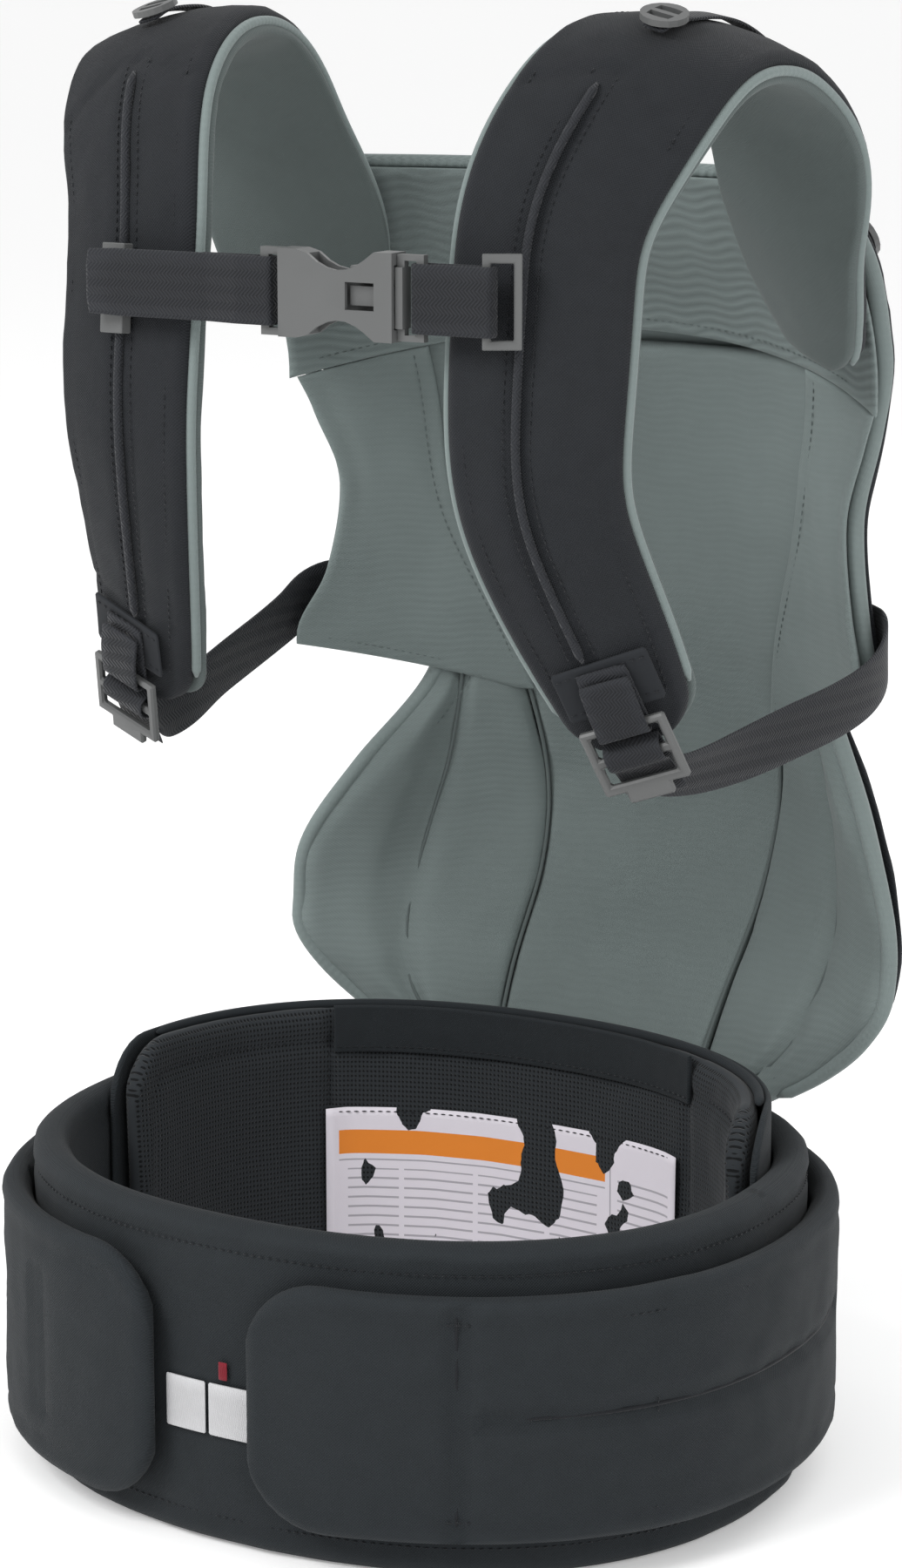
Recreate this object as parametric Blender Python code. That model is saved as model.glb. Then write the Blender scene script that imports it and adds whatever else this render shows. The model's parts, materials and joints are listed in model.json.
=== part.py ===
"""Soft baby carrier: padded waist belt, body panel, shoulder straps and a clip-together chest strap.

Metres, +Z up. The belt stands on the floor with its closure towards -Y, and the body panel stands at +Y.
"""
import math

import bmesh
import bpy
import numpy as np

# Whole object: the centre of the footprint, moved to the origin when the meshes are written
FOOTPRINT_CENTRE = np.array([0.0, 0.04235, 0.0])

# Waist belt: one padded ring, an oval a little wider than deep
BELT_HALF_WIDTH = 0.155
BELT_HALF_DEPTH = 0.135
BELT_SQUARENESS = 2.2
BAND_THICKNESS = 0.014
BAND_HEIGHT = 0.128
WING_THICKNESS = 0.0120
WING_LEFT_Z = (0.011, 0.1125)
WING_RIGHT_Z = (0.016, 0.1130)
WING_FOLD_DEG = 21.5
WING_BACK_DEG = 52.0
WING_CORNER = 0.030
BACK_PAD_DEG = (8.0, 186.0)
BACK_PAD_Z = (0.003, 0.147)
HEM_DEG = (50.0, 136.0)
LABEL_DEG = (54.0, 138.0)
LABEL_Z = (0.018, 0.104)
GAP = 0.0003
PAD_GAP = 0.0009
THIN_SHEET = 0.0012
EDGE_FULLNESS = 0.45

# Body panel: inside surface and outline, measured up from the floor
PANEL_CENTRE_Y = ((0.112, 0.1445), (0.15, 0.172), (0.19, 0.207), (0.23, 0.221), (0.27, 0.212),
                  (0.31, 0.198), (0.35, 0.192), (0.40, 0.188), (0.44, 0.174), (0.475, 0.147), (0.51, 0.121))
PANEL_EDGE_Y = ((0.112, 0.1435), (0.15, 0.135), (0.19, 0.134), (0.25, 0.127),
                (0.29, 0.129), (0.36, 0.137), (0.43, 0.124), (0.47, 0.107), (0.51, 0.084))
PANEL_REFERENCE_X = ((0.112, 0.110), (0.15, 0.132), (0.185, 0.141), (0.25, 0.136),
                     (0.29, 0.132), (0.36, 0.121), (0.43, 0.137), (0.51, 0.137))
CENTRE_HALF_WIDTH = ((0.112, 0.047), (0.15, 0.051), (0.22, 0.056), (0.29, 0.0645),
                     (0.35, 0.085), (0.41, 0.093), (0.45, 0.096))
SEAT_HALF_WIDTH = ((0.112, 0.078), (0.13, 0.108), (0.15, 0.130), (0.172, 0.1405),
                   (0.20, 0.1385), (0.235, 0.121), (0.27, 0.098), (0.293, 0.088))
UPPER_HALF_WIDTH = ((0.268, 0.135), (0.29, 0.1345), (0.32, 0.1255), (0.36, 0.120), (0.40, 0.130),
                    (0.435, 0.138), (0.47, 0.137), (0.50, 0.120))
PANEL_BULGE_POWER = 2.4
SEAT_TOP_Z = 0.292
UPPER_BOTTOM_Z = (0.0645, 0.269)
UPPER_CORNER_Z = (0.134, 0.293)
PANEL_TOP_Z = 0.500
HEAD_BOTTOM_Z = 0.432
CENTRE_TOP_Z = 0.424
LINING_THICKNESS = 0.0018
LAYER_GAP = 0.0014
FOAM_TOP = 0.0066
OUTER_TOP = 0.0100
FRONT_LAYER = (-0.0040, -0.0015)
SEAT_WING_THICKNESS = 0.0066

# Shoulder straps: right-hand centre line from the lower end up, over the shoulder and down to the panel
# x, y, z, then the direction the dark face looks, then the width
STRAP_ROWS = (
    (0.1090, -0.0225, 0.303, 0.26, -0.94, -0.22, 0.046),
    (0.1020, -0.0355, 0.331, 0.28, -0.94, -0.15, 0.054),
    (0.0935, -0.0530, 0.366, 0.24, -0.965, -0.05, 0.059),
    (0.0883, -0.0665, 0.400, 0.216, -0.976, 0.0, 0.063),
    (0.0885, -0.0668, 0.425, 0.216, -0.970, 0.11, 0.066),
    (0.0885, -0.0628, 0.4585, 0.216, -0.970, 0.12, 0.067),
    (0.0885, -0.0588, 0.492, 0.216, -0.970, 0.12, 0.068),
    (0.0955, -0.0495, 0.516, 0.25, -0.88, 0.40, 0.071),
    (0.1030, -0.0330, 0.538, 0.26, -0.66, 0.70, 0.074),
    (0.1085, -0.0030, 0.5545, 0.20, -0.15, 0.97, 0.073),
    (0.1130, 0.0300, 0.5530, 0.20, 0.25, 0.95, 0.070),
    (0.1165, 0.0600, 0.5380, 0.20, 0.60, 0.78, 0.067),
    (0.1180, 0.0815, 0.5150, 0.18, 0.85, 0.50, 0.064),
)
STRAP_BASE_ROWS = ((0.488, 0.1180, 0.060), (0.462, 0.1195, 0.048), (0.438, 0.1225, 0.034))
STRAP_APEX_ROW = 9
STRAP_BASE_STANDOFF = 0.0090
STRAP_CROWN = 0.0090
STRAP_EDGE = 0.0045
STRAP_WALL = 0.0016
STRAP_LINING_BOTTOM = -0.0060
STRAP_LINING_TOP = -0.0030
RAIL_WIDTH = 0.003
RAIL_HEIGHT = 0.002
RAIL_Z = (0.325, 0.535)
RAIL_OFFSET = 0.0050
SLIDER_CLEARANCE = 0.0015

# Webbing and hardware
WEB_WIDTH = 0.025
WEB_THICKNESS = 0.0014
CHEST_Z = 0.467
CHEST_Y = -0.0838
BUCKLE_HEIGHT = 0.032
RING_TILT_DEG = 30.0
LOCK_WIDTH = 0.034
LOCK_LENGTH = 0.028
LOCK_THICKNESS = 0.003
LOCK_LIFT = 0.0135
LOCK_CENTRE_ALONG = 0.0005
DISC_RADIUS = 0.0090
DISC_THICKNESS = 0.0024

COLOURS = {
    "belt_cloth": ((0.034, 0.039, 0.043), 0.90, 0.0),
    "spacer_mesh": ((0.024, 0.028, 0.031), 0.95, 0.0),
    "strap_cloth": ((0.042, 0.048, 0.053), 0.90, 0.0),
    "grey_lining": ((0.118, 0.145, 0.142), 0.92, 0.0),
    "webbing": ((0.040, 0.042, 0.047), 0.80, 0.0),
    "grey_plastic": ((0.115, 0.118, 0.117), 0.45, 0.0),
    "foam": ((0.30, 0.30, 0.28), 1.0, 0.0),
    "stiff_sheet": ((0.05, 0.05, 0.05), 0.6, 0.0),
    "white_tape": ((0.66, 0.66, 0.67), 0.75, 0.0),
    "label_cloth": ((0.74, 0.70, 0.76), 0.85, 0.0),
    "red_tape": ((0.16, 0.012, 0.02), 0.8, 0.0),
    "hook_tape": ((0.02, 0.021, 0.023), 0.95, 0.0),
}


def clear_scene():
    for item in list(bpy.data.objects):
        bpy.data.objects.remove(item, do_unlink=True)


def material(slot):
    found = bpy.data.materials.get(slot)
    if found:
        return found
    colour, roughness, metallic = COLOURS[slot]
    made = bpy.data.materials.new(slot)
    made.use_nodes = True
    shader = made.node_tree.nodes["Principled BSDF"]
    shader.inputs["Base Color"].default_value = (*colour, 1.0)
    shader.inputs["Roughness"].default_value = roughness
    shader.inputs["Metallic"].default_value = metallic
    return made


def unit(vector):
    vector = np.asarray(vector, float)
    return vector / np.linalg.norm(vector)


def smooth_table(table, at):
    """A smooth curve through the rows of a table, each a position followed by its values."""
    rows = np.asarray(table, float)
    keys = rows[:, 0]
    values = rows[:, 1:]
    rises = np.diff(values, axis=0) / np.diff(keys)[:, None]
    slopes = np.vstack([rises[:1], (rises[1:] + rises[:-1]) / 2, rises[-1:]])
    slopes[1:-1][rises[1:] * rises[:-1] <= 0] = 0.0
    at = min(max(at, keys[0]), keys[-1])
    left = int(min(max(np.searchsorted(keys, at) - 1, 0), len(keys) - 2))
    span = keys[left + 1] - keys[left]
    t = (at - keys[left]) / span
    start = values[left] * (1 + 2 * t) * (1 - t) ** 2 + slopes[left] * span * t * (1 - t) ** 2
    end = values[left + 1] * t * t * (3 - 2 * t) - slopes[left + 1] * span * t * t * (1 - t)
    result = start + end
    return float(result[0]) if len(result) == 1 else result


def write_solid(name, vertices, faces, slot, pivot=(0.0, 0.0, 0.0)):
    """Write one closed body; pivot is where its own origin sits."""
    pivot = np.asarray(pivot, float)
    shift = pivot if pivot.any() else FOOTPRINT_CENTRE
    mesh = bpy.data.meshes.new(name)
    mesh.from_pydata([tuple(np.asarray(v, float) - shift) for v in vertices], [], faces)
    work = bmesh.new()
    work.from_mesh(mesh)
    bmesh.ops.recalc_face_normals(work, faces=work.faces)
    work.to_mesh(mesh)
    work.free()
    mesh.materials.append(material(slot))
    solid = bpy.data.objects.new(name, mesh)
    bpy.context.scene.collection.objects.link(solid)
    if pivot.any():
        solid.location = tuple(pivot - FOOTPRINT_CENTRE)
    return solid


def grid_shell(name, front, back, slot, closed=False, pivot=(0.0, 0.0, 0.0)):
    """A closed body between two matching grids of points, one row after another."""
    rows, columns = len(front), len(front[0])
    count = rows * columns
    vertices = [p for row in front for p in row] + [p for row in back for p in row]
    faces = []
    last = rows if closed else rows - 1
    for i in range(last):
        below, above = i * columns, ((i + 1) % rows) * columns
        for j in range(columns - 1):
            quad = (below + j, below + j + 1, above + j + 1, above + j)
            faces.append(quad)
            faces.append(tuple(count + k for k in reversed(quad)))
        for j in (0, columns - 1):
            faces.append((below + j, above + j, count + above + j, count + below + j))
    if not closed:
        for start in (0, (rows - 1) * columns):
            for j in range(columns - 1):
                faces.append((start + j, start + j + 1, count + start + j + 1, count + start + j))
    return write_solid(name, vertices, faces, slot, pivot)


def soft_steps(length, edge, middle):
    """Positions along a length, closer near both ends, and how full the padding is at each."""
    if edge < THIN_SHEET:
        return [0.0, length], [1.0, 1.0]
    edge = min(edge, length * 0.45)
    steps = [0.0] + list(np.linspace(edge, length - edge, middle + 1)) + [length]
    full = [EDGE_FULLNESS] + [1.0] * (middle + 1) + [EDGE_FULLNESS]
    return steps, full


# ---- waist belt ----

def oval_at(angle_deg):
    """Point on the band's outer face and the direction straight out of it."""
    angle = math.radians(angle_deg)
    c, s = math.cos(angle), math.sin(angle)
    n = BELT_SQUARENESS
    reach = ((abs(c) / BELT_HALF_WIDTH) ** n + (abs(s) / BELT_HALF_DEPTH) ** n) ** (-1 / n)
    x, y = reach * c, reach * s
    out = (math.copysign(abs(x) ** (n - 1) / BELT_HALF_WIDTH ** n, x),
           math.copysign(abs(y) ** (n - 1) / BELT_HALF_DEPTH ** n, y), 0.0)
    return np.array([x, y, 0.0]), unit(out)


def belt_pad(name, start_deg, end_deg, depth, heights, slot, corners=(0.0, 0.0), rows=15,
             columns=2, edge=0.005, pivot=(0.0, 0.0, 0.0)):
    """A pad that follows the belt's oval between two angles, with rounded ends."""
    angles = np.linspace(start_deg, end_deg, 121)
    points = [oval_at(a)[0] for a in angles]
    lengths = np.concatenate([[0.0], np.cumsum([np.linalg.norm(b - a) for a, b in zip(points, points[1:])])])
    total = lengths[-1]
    arcs = []
    quarter = np.linspace(0.0, math.pi / 2, 4)
    for turn in quarter if corners[0] else (0.0, 1.0):
        arcs.append((corners[0] * (1 - math.cos(turn)) if corners[0] else turn * 0.002,
                     corners[0] * (1 - math.sin(turn))))
    for step in np.linspace(max(corners[0], 0.004), total - max(corners[1], 0.004), rows):
        arcs.append((step, 0.0))
    for turn in reversed(quarter if corners[1] else (0.0, 1.0)):
        arcs.append((total - (corners[1] * (1 - math.cos(turn)) if corners[1] else turn * 0.002),
                     corners[1] * (1 - math.sin(turn))))
    arcs = sorted(set((round(a, 6), round(b, 6)) for a, b in arcs))
    front, back = [], []
    middle, half = (depth[0] + depth[1]) / 2, (depth[1] - depth[0]) / 2
    for along, inset in arcs:
        point, out = oval_at(float(np.interp(along, lengths, angles)))
        low, high = heights[0] + inset, heights[1] - inset
        steps, full = soft_steps(high - low, edge, columns)
        ends = min(along, total - along, edge) / edge
        end_full = max(EDGE_FULLNESS, math.sqrt(max(0.0, 1 - (1 - ends) ** 2)))
        up = np.array([0.0, 0.0, 1.0])
        front.append([point + up * (low + s) + out * (middle + half * min(f, end_full))
                      for s, f in zip(steps, full)])
        back.append([point + up * (low + s) + out * (middle - half * min(f, end_full))
                     for s, f in zip(steps, full)])
    return grid_shell(name, front, back, slot, pivot=pivot)


def make_band():
    """The closed padded ring of the belt, flat underneath."""
    front, back = [], []
    middle, half = -BAND_THICKNESS / 2, BAND_THICKNESS / 2
    steps, full = soft_steps(BAND_HEIGHT, 0.008, 1)
    for angle in np.linspace(0.0, 360.0, 60, endpoint=False):
        point, out = oval_at(angle)
        up = np.array([0.0, 0.0, 1.0])
        front.append([point + up * s + out * (middle + half * f) for s, f in zip(steps, full)])
        back.append([point + up * s + out * (middle - half * f) for s, f in zip(steps, full)])
    grid_shell("inner_band", front, back, "belt_cloth", closed=True)


def fold_axis(side):
    """The upright line on the belt's outer face where a wing folds open."""
    angle = -WING_FOLD_DEG if side > 0 else 180.0 + WING_FOLD_DEG
    point, out = oval_at(angle)
    height = sum(WING_RIGHT_Z if side > 0 else WING_LEFT_Z) / 2
    return point + out * WING_THICKNESS + np.array([0.0, 0.0, height])


def make_belt():
    make_band()
    inside = -BAND_THICKNESS - PAD_GAP
    belt_pad("back_pad_shell", *BACK_PAD_DEG, (inside - 0.003, inside), BACK_PAD_Z, "belt_cloth",
             corners=(0.028, 0.028), edge=0.003, rows=20)
    belt_pad("lumbar_stiffener", BACK_PAD_DEG[0] + 7, BACK_PAD_DEG[1] - 7, (inside - 0.0056, inside - 0.0040),
             (BACK_PAD_Z[0] + 0.012, BACK_PAD_Z[1] - 0.012), "stiff_sheet", corners=(0.015, 0.015), edge=0.002,
             rows=20)
    belt_pad("back_pad", *BACK_PAD_DEG, (inside - 0.0152, inside - 0.0066), BACK_PAD_Z, "spacer_mesh",
             corners=(0.028, 0.028), edge=0.006, rows=20)
    face = inside - 0.0152 - 3 * GAP
    belt_pad("hem_band", *HEM_DEG, (face - 0.0018, face), (0.129, 0.1485), "belt_cloth", edge=0.001, rows=7,
             columns=2)
    belt_pad("care_label", *LABEL_DEG, (face - 0.0008, face), LABEL_Z, "label_cloth", edge=0.0005,
             rows=7, columns=2)
    fold = WING_FOLD_DEG
    seam = 0.11
    for side, heights in (("right", WING_RIGHT_Z), ("left", WING_LEFT_Z)):
        right = side == "right"
        base = (-fold + seam, WING_BACK_DEG) if right else (180 - WING_BACK_DEG, 180 + fold - seam)
        flap = (-86.0, -fold - seam) if right else (180 + fold + seam, 256.4)
        patch = (-80.0, -46.0) if right else (218.0, 251.0)
        flap_corners = (WING_CORNER, 0.0) if right else (0.0, WING_CORNER)
        base_corners = (0.0, WING_CORNER) if right else (WING_CORNER, 0.0)
        axis = fold_axis(1 if right else -1)
        patch_z = (heights[0] + 0.014, heights[1] - 0.014)
        belt_pad("wing_base_" + side, *base, (GAP, WING_THICKNESS), heights, "belt_cloth", corners=base_corners,
                 rows=12)
        belt_pad("wing_" + side, *flap, (0.0024, WING_THICKNESS), heights, "belt_cloth", corners=flap_corners,
                 rows=16, pivot=axis)
        belt_pad("hook_patch_" + side, *patch, (0.0014, 0.0021), patch_z, "hook_tape", edge=0.0005, rows=11,
                 columns=2, pivot=axis)
        belt_pad("loop_field_" + side, *patch, (GAP, 0.0010), patch_z, "hook_tape", edge=0.0005, rows=11,
                 columns=2)
    belt_pad("tab_left", 256.7, 264.4, (GAP, 0.0015), (0.0440, 0.0645), "white_tape", edge=0.0006, rows=4,
             columns=2)
    belt_pad("tab_right", 265.1, 273.7, (GAP, 0.0015), (0.0440, 0.0645), "white_tape", edge=0.0006, rows=4,
             columns=2)
    belt_pad("size_tag", 267.0, 268.6, (GAP, 0.0011), (0.0665, 0.0735), "red_tape", edge=0.0003, rows=2,
             columns=2)


# ---- body panel ----

def panel_depth(x, z):
    centre = smooth_table(PANEL_CENTRE_Y, z)
    edge = smooth_table(PANEL_EDGE_Y, z)
    reach = abs(x) / smooth_table(PANEL_REFERENCE_X, z)
    return centre - (centre - edge) * reach ** PANEL_BULGE_POWER


def panel_at(x, z):
    """Point on the panel's inside surface and the direction away from the wearer."""
    step = 0.0005
    slope_x = (panel_depth(x + step, z) - panel_depth(x - step, z)) / (2 * step)
    slope_z = (panel_depth(x, z + step) - panel_depth(x, z - step)) / (2 * step)
    return np.array([x, panel_depth(x, z), z]), unit((-slope_x, 1.0, -slope_z))


def panel_pad(name, low, high, left, right, depth, slot, rows=14, columns=8, edge=0.003, hug=None):
    """A piece of the panel; low and high are functions of x, left and right of height."""
    mid_x = (left(SEAT_TOP_Z) + right(SEAT_TOP_Z)) / 2 if left(SEAT_TOP_Z) * right(SEAT_TOP_Z) > 0 else 0.0
    mid_low, mid_high = low(mid_x), high(mid_x)
    steps_z, full_z = soft_steps(mid_high - mid_low, edge, rows)
    front, back = [], []
    for along, row_full in zip(steps_z, full_z):
        part = along / (mid_high - mid_low)
        height = mid_low + along
        x_left, x_right = left(height), right(height)
        steps_x, full_x = soft_steps(x_right - x_left, edge, columns)
        front_row, back_row = [], []
        for across, column_full in zip(steps_x, full_x):
            x = x_left + across
            z = low(x) + (high(x) - low(x)) * part
            point, out = panel_at(x, z)
            near, far = depth
            if hug:
                sink = hug(min(across, x_right - x_left - across), min(along, mid_high - mid_low - along))
                near, far = near - sink, far - sink
            middle, half = (near + far) / 2, (far - near) / 2
            full = min(row_full, column_full)
            front_row.append(point + out * (middle - half * full))
            back_row.append(point + out * (middle + half * full))
        front.append(front_row)
        back.append(back_row)
    return grid_shell(name, front, back, slot)


def level(height):
    return lambda x: height


def head_bottom(x):
    return HEAD_BOTTOM_Z - 0.022 * (abs(x) / 0.13) ** 2


def upper_bottom(x):
    """The panel's lower hem rises towards its corners."""
    part = (abs(x) - UPPER_BOTTOM_Z[0]) / (UPPER_CORNER_Z[0] - UPPER_BOTTOM_Z[0])
    return UPPER_BOTTOM_Z[1] + (UPPER_CORNER_Z[1] - UPPER_BOTTOM_Z[1]) * max(0.0, part)


def centre_half(z):
    return smooth_table(CENTRE_HALF_WIDTH, z)


def seat_half(z):
    return smooth_table(SEAT_HALF_WIDTH, z)


def upper_half(z):
    return smooth_table(UPPER_HALF_WIDTH, z)


def edge_sink(depth, reach):
    """How far the outer cloth drops towards the lining near its border."""
    def sink(across, along):
        near = min(across, along) / reach
        return depth * (1 - min(1.0, near)) ** 2
    return sink


def make_panel():
    lining = (0.0, LINING_THICKNESS)
    front_layer = FRONT_LAYER
    panel_pad("centre_panel", level(0.1135), level(CENTRE_TOP_Z), lambda z: -centre_half(z), centre_half,
              lining, "grey_lining", rows=16, columns=6, edge=0.002)
    panel_pad("head_panel", head_bottom, level(PANEL_TOP_Z), lambda z: -upper_half(z), upper_half,
              front_layer, "grey_lining", rows=4, columns=12, edge=0.003)
    side_gap = 0.0003
    panel_pad("panel_side_right", upper_bottom, lambda x: head_bottom(x) - side_gap,
              lambda z: centre_half(z) - 0.004, upper_half, front_layer, "grey_lining", rows=8, columns=3,
              edge=0.002)
    panel_pad("panel_side_left", upper_bottom, lambda x: head_bottom(x) - side_gap,
              lambda z: -upper_half(z), lambda z: -centre_half(z) + 0.004, front_layer, "grey_lining",
              rows=8, columns=3, edge=0.002)
    foam = (LINING_THICKNESS + LAYER_GAP, FOAM_TOP)
    panel_pad("panel_foam", level(0.318), level(0.480), lambda z: -upper_half(z) + 0.020,
              lambda z: upper_half(z) - 0.020, foam, "foam", rows=10, columns=10, edge=0.003)
    panel_pad("seat_foam", level(0.128), level(0.290), lambda z: -centre_half(z) + 0.005,
              lambda z: centre_half(z) - 0.005, foam, "foam", rows=10, columns=4, edge=0.003)
    outer = (FOAM_TOP + LAYER_GAP, OUTER_TOP)
    seat_back = (FOAM_TOP + LAYER_GAP + 0.0010, OUTER_TOP + 0.0010)
    panel_pad("panel_outer", level(0.2985), level(PANEL_TOP_Z - 0.001), lambda z: -upper_half(z) + 0.003,
              lambda z: upper_half(z) - 0.003, outer, "strap_cloth", rows=12, columns=12, edge=0.003,
              hug=edge_sink(0.0025, 0.014))
    panel_pad("seat_outer", level(0.1180), level(0.2960), lambda z: -seat_half(z) + 0.011,
              lambda z: seat_half(z) - 0.011, seat_back, "strap_cloth", rows=10, columns=12, edge=0.002)
    wing = (0.0, SEAT_WING_THICKNESS)
    panel_pad("seat_wing_right", level(0.1135), level(SEAT_TOP_Z), lambda z: centre_half(z) + 0.0006, seat_half,
              wing, "grey_lining", rows=10, columns=4, edge=0.006)
    panel_pad("seat_wing_left", level(0.1135), level(SEAT_TOP_Z), lambda z: -seat_half(z),
              lambda z: -centre_half(z) - 0.0006, wing, "grey_lining", rows=10, columns=4, edge=0.006)


# ---- shoulder straps ----

def strap_table():
    """Strap rows with the distance along the strap in front of each."""
    rows = [list(row) for row in STRAP_ROWS]
    for height, x, width in STRAP_BASE_ROWS:
        point, out = panel_at(x, height)
        centre = point - out * (STRAP_BASE_STANDOFF + STRAP_CROWN)
        rows.append([*centre, *out, width])
    rows = np.array(rows)
    steps = np.linalg.norm(np.diff(rows[:, :3], axis=0), axis=1)
    along = np.concatenate([[0.0], np.cumsum(steps)])
    return np.column_stack([along, rows])


STRAP = strap_table()
STRAP_LENGTH = float(STRAP[-1, 0])


def strap_frame(along, side):
    """Centre, direction up the strap, direction across it, direction its dark face looks, and width."""
    def centre_at(s):
        if s < 0:
            start = smooth_table(STRAP, 0.0)[:3]
            ahead = smooth_table(STRAP, 0.002)[:3]
            return start + (ahead - start) / 0.002 * s
        return smooth_table(STRAP, s)[:3]
    step = 0.001
    tangent = unit(centre_at(along + step) - centre_at(along - step if along > step else along - step))
    row = smooth_table(STRAP, max(along, 0.0))
    out = row[3:6]
    out = unit(out - tangent * np.dot(out, tangent))
    mirror = np.array([side, 1.0, 1.0])
    centre, tangent, out = centre_at(along) * mirror, tangent * mirror, out * mirror
    return centre, tangent, np.cross(tangent, out), out, float(row[6])


def along_for_height(height):
    """Distance along the front of the strap at a height."""
    trial = np.linspace(0.0, 0.26, 261)
    heights = [smooth_table(STRAP, s)[2] for s in trial]
    return float(np.interp(height, heights, trial))


def crown(across, half_width):
    return STRAP_EDGE + (STRAP_CROWN - STRAP_EDGE) * (1 - min(1.0, abs(across) / half_width) ** 2)


def end_round(along, radius):
    """How much of the width is left near a rounded strap end."""
    inside = min(along, radius) / radius
    return math.sqrt(max(0.0, 1 - (1 - inside) ** 2))


def strap_steps(start, end, rows, radius_start, radius_end):
    steps = [start + radius_start * (1 - math.cos(a)) for a in np.linspace(0.35, math.pi / 2, 3)]
    steps += list(np.linspace(start + radius_start, end - radius_end, rows))[1:-1]
    steps += [end - radius_end * (1 - math.cos(a)) for a in np.linspace(math.pi / 2, 0.35, 3)]
    return steps


def width_left(along, start, end, radius_start, radius_end, half):
    """Half width of a strap layer at a distance along it, rounded at both ends."""
    low = end_round(along - start, radius_start)
    high = end_round(end - along, radius_end)
    return (half - radius_start * 0.9) + radius_start * 0.9 * min(low, 1.0) if low < 1 else \
        (half - radius_end * 0.9) + radius_end * 0.9 * high


def strap_layer(name, side, inset, near, far, slot, trim=0.0, rows=20, across_steps=5):
    """One layer of a strap; near and far give the height above the middle for a place across it."""
    front, back = [], []
    start, end = trim, STRAP_LENGTH - trim
    radius = (0.016, 0.012)
    for along in strap_steps(start, end, rows, *radius):
        centre, _, across, out, width = strap_frame(along, side)
        half = width_left(along, start, end, *radius, width / 2 - inset)
        front_row, back_row = [], []
        for part in np.linspace(-1.0, 1.0, across_steps):
            place = half * math.sin(part * math.pi / 2)
            front_row.append(centre + across * place + out * near(place, half))
            back_row.append(centre + across * place + out * far(place, half))
        front.append(front_row)
        back.append(back_row)
    return grid_shell(name, front, back, slot)


def strap_cover(name, side):
    """The dark cover: a domed face with walls turned down at both edges, like a shallow tray."""
    front, back = [], []
    radius = (0.016, 0.012)
    for along in strap_steps(0.0, STRAP_LENGTH, 20, *radius):
        centre, _, across, out, width = strap_frame(along, side)
        half = width_left(along, 0.0, STRAP_LENGTH, *radius, width / 2)
        base = STRAP_LINING_TOP + 2 * GAP
        outer = [(-half, base)]
        inner = [(-half + STRAP_WALL, base)]
        for part in np.linspace(-1.0, 1.0, 7):
            place = half * math.sin(part * math.pi / 2)
            outer.append((place, crown(place, half) - (0.0012 if abs(part) == 1 else 0.0)))
            within = place * (half - STRAP_WALL) / half
            inner.append((within, crown(place, half) - STRAP_WALL))
        outer.append((half, base))
        inner.append((half - STRAP_WALL, base))
        front.append([centre + across * a + out * t for a, t in outer])
        back.append([centre + across * a + out * t for a, t in inner])
    return grid_shell(name, front, back, "strap_cloth")


def strap_ribbon(name, side, start, end, half, near, far, slot, rows=10, offset=0.0):
    """A narrow strip lying along the strap's dark face."""
    front, back = [], []
    for along in np.linspace(start, end, rows):
        centre, _, across, out, _ = strap_frame(along, side)
        middle = centre + across * offset
        front.append([middle - across * half + out * near, middle + across * half + out * near])
        back.append([middle - across * half + out * far, middle + across * half + out * far])
    return grid_shell(name, front, back, slot)


def path_ribbon(name, path, across, half, thickness, slot, pivot=(0.0, 0.0, 0.0)):
    """Webbing along a path: each row is a point; across is one direction or one per row."""
    path = [np.asarray(p, float) for p in path]
    front, back = [], []
    for i, point in enumerate(path):
        before = path[max(i - 1, 0)]
        after = path[min(i + 1, len(path) - 1)]
        direction = unit(after - before)
        wide = np.asarray(across[i] if np.ndim(across) == 2 else across, float)
        out = unit(np.cross(direction, wide))
        wide = unit(wide - direction * np.dot(wide, direction)) * half
        front.append([point - wide + out * thickness / 2, point + wide + out * thickness / 2])
        back.append([point - wide - out * thickness / 2, point + wide - out * thickness / 2])
    return grid_shell(name, front, back, slot, pivot=pivot)


def bent_path(corners, radius, steps=5):
    """A path through corner points with each inner corner rounded."""
    corners = [np.asarray(c, float) for c in corners]
    path = [corners[0]]
    for before, here, after in zip(corners, corners[1:], corners[2:]):
        reach = min(radius, np.linalg.norm(here - before) * 0.49, np.linalg.norm(after - here) * 0.49)
        start = here + unit(before - here) * reach
        end = here + unit(after - here) * reach
        for t in np.linspace(0.0, 1.0, steps):
            path.append(start * (1 - t) ** 2 + here * 2 * t * (1 - t) + end * t * t)
    path.append(corners[-1])
    return path


def strap_point(along, side, lift, offset=0.0):
    centre, _, across, out, _ = strap_frame(along, side)
    return centre + across * offset + out * lift


def inward(distance, side):
    """A place across the strap, towards the other strap, at chest height."""
    _, _, across, _, _ = strap_frame(along_for_height(CHEST_Z), side)
    return -distance if across[0] * side > 0 else distance


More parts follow.
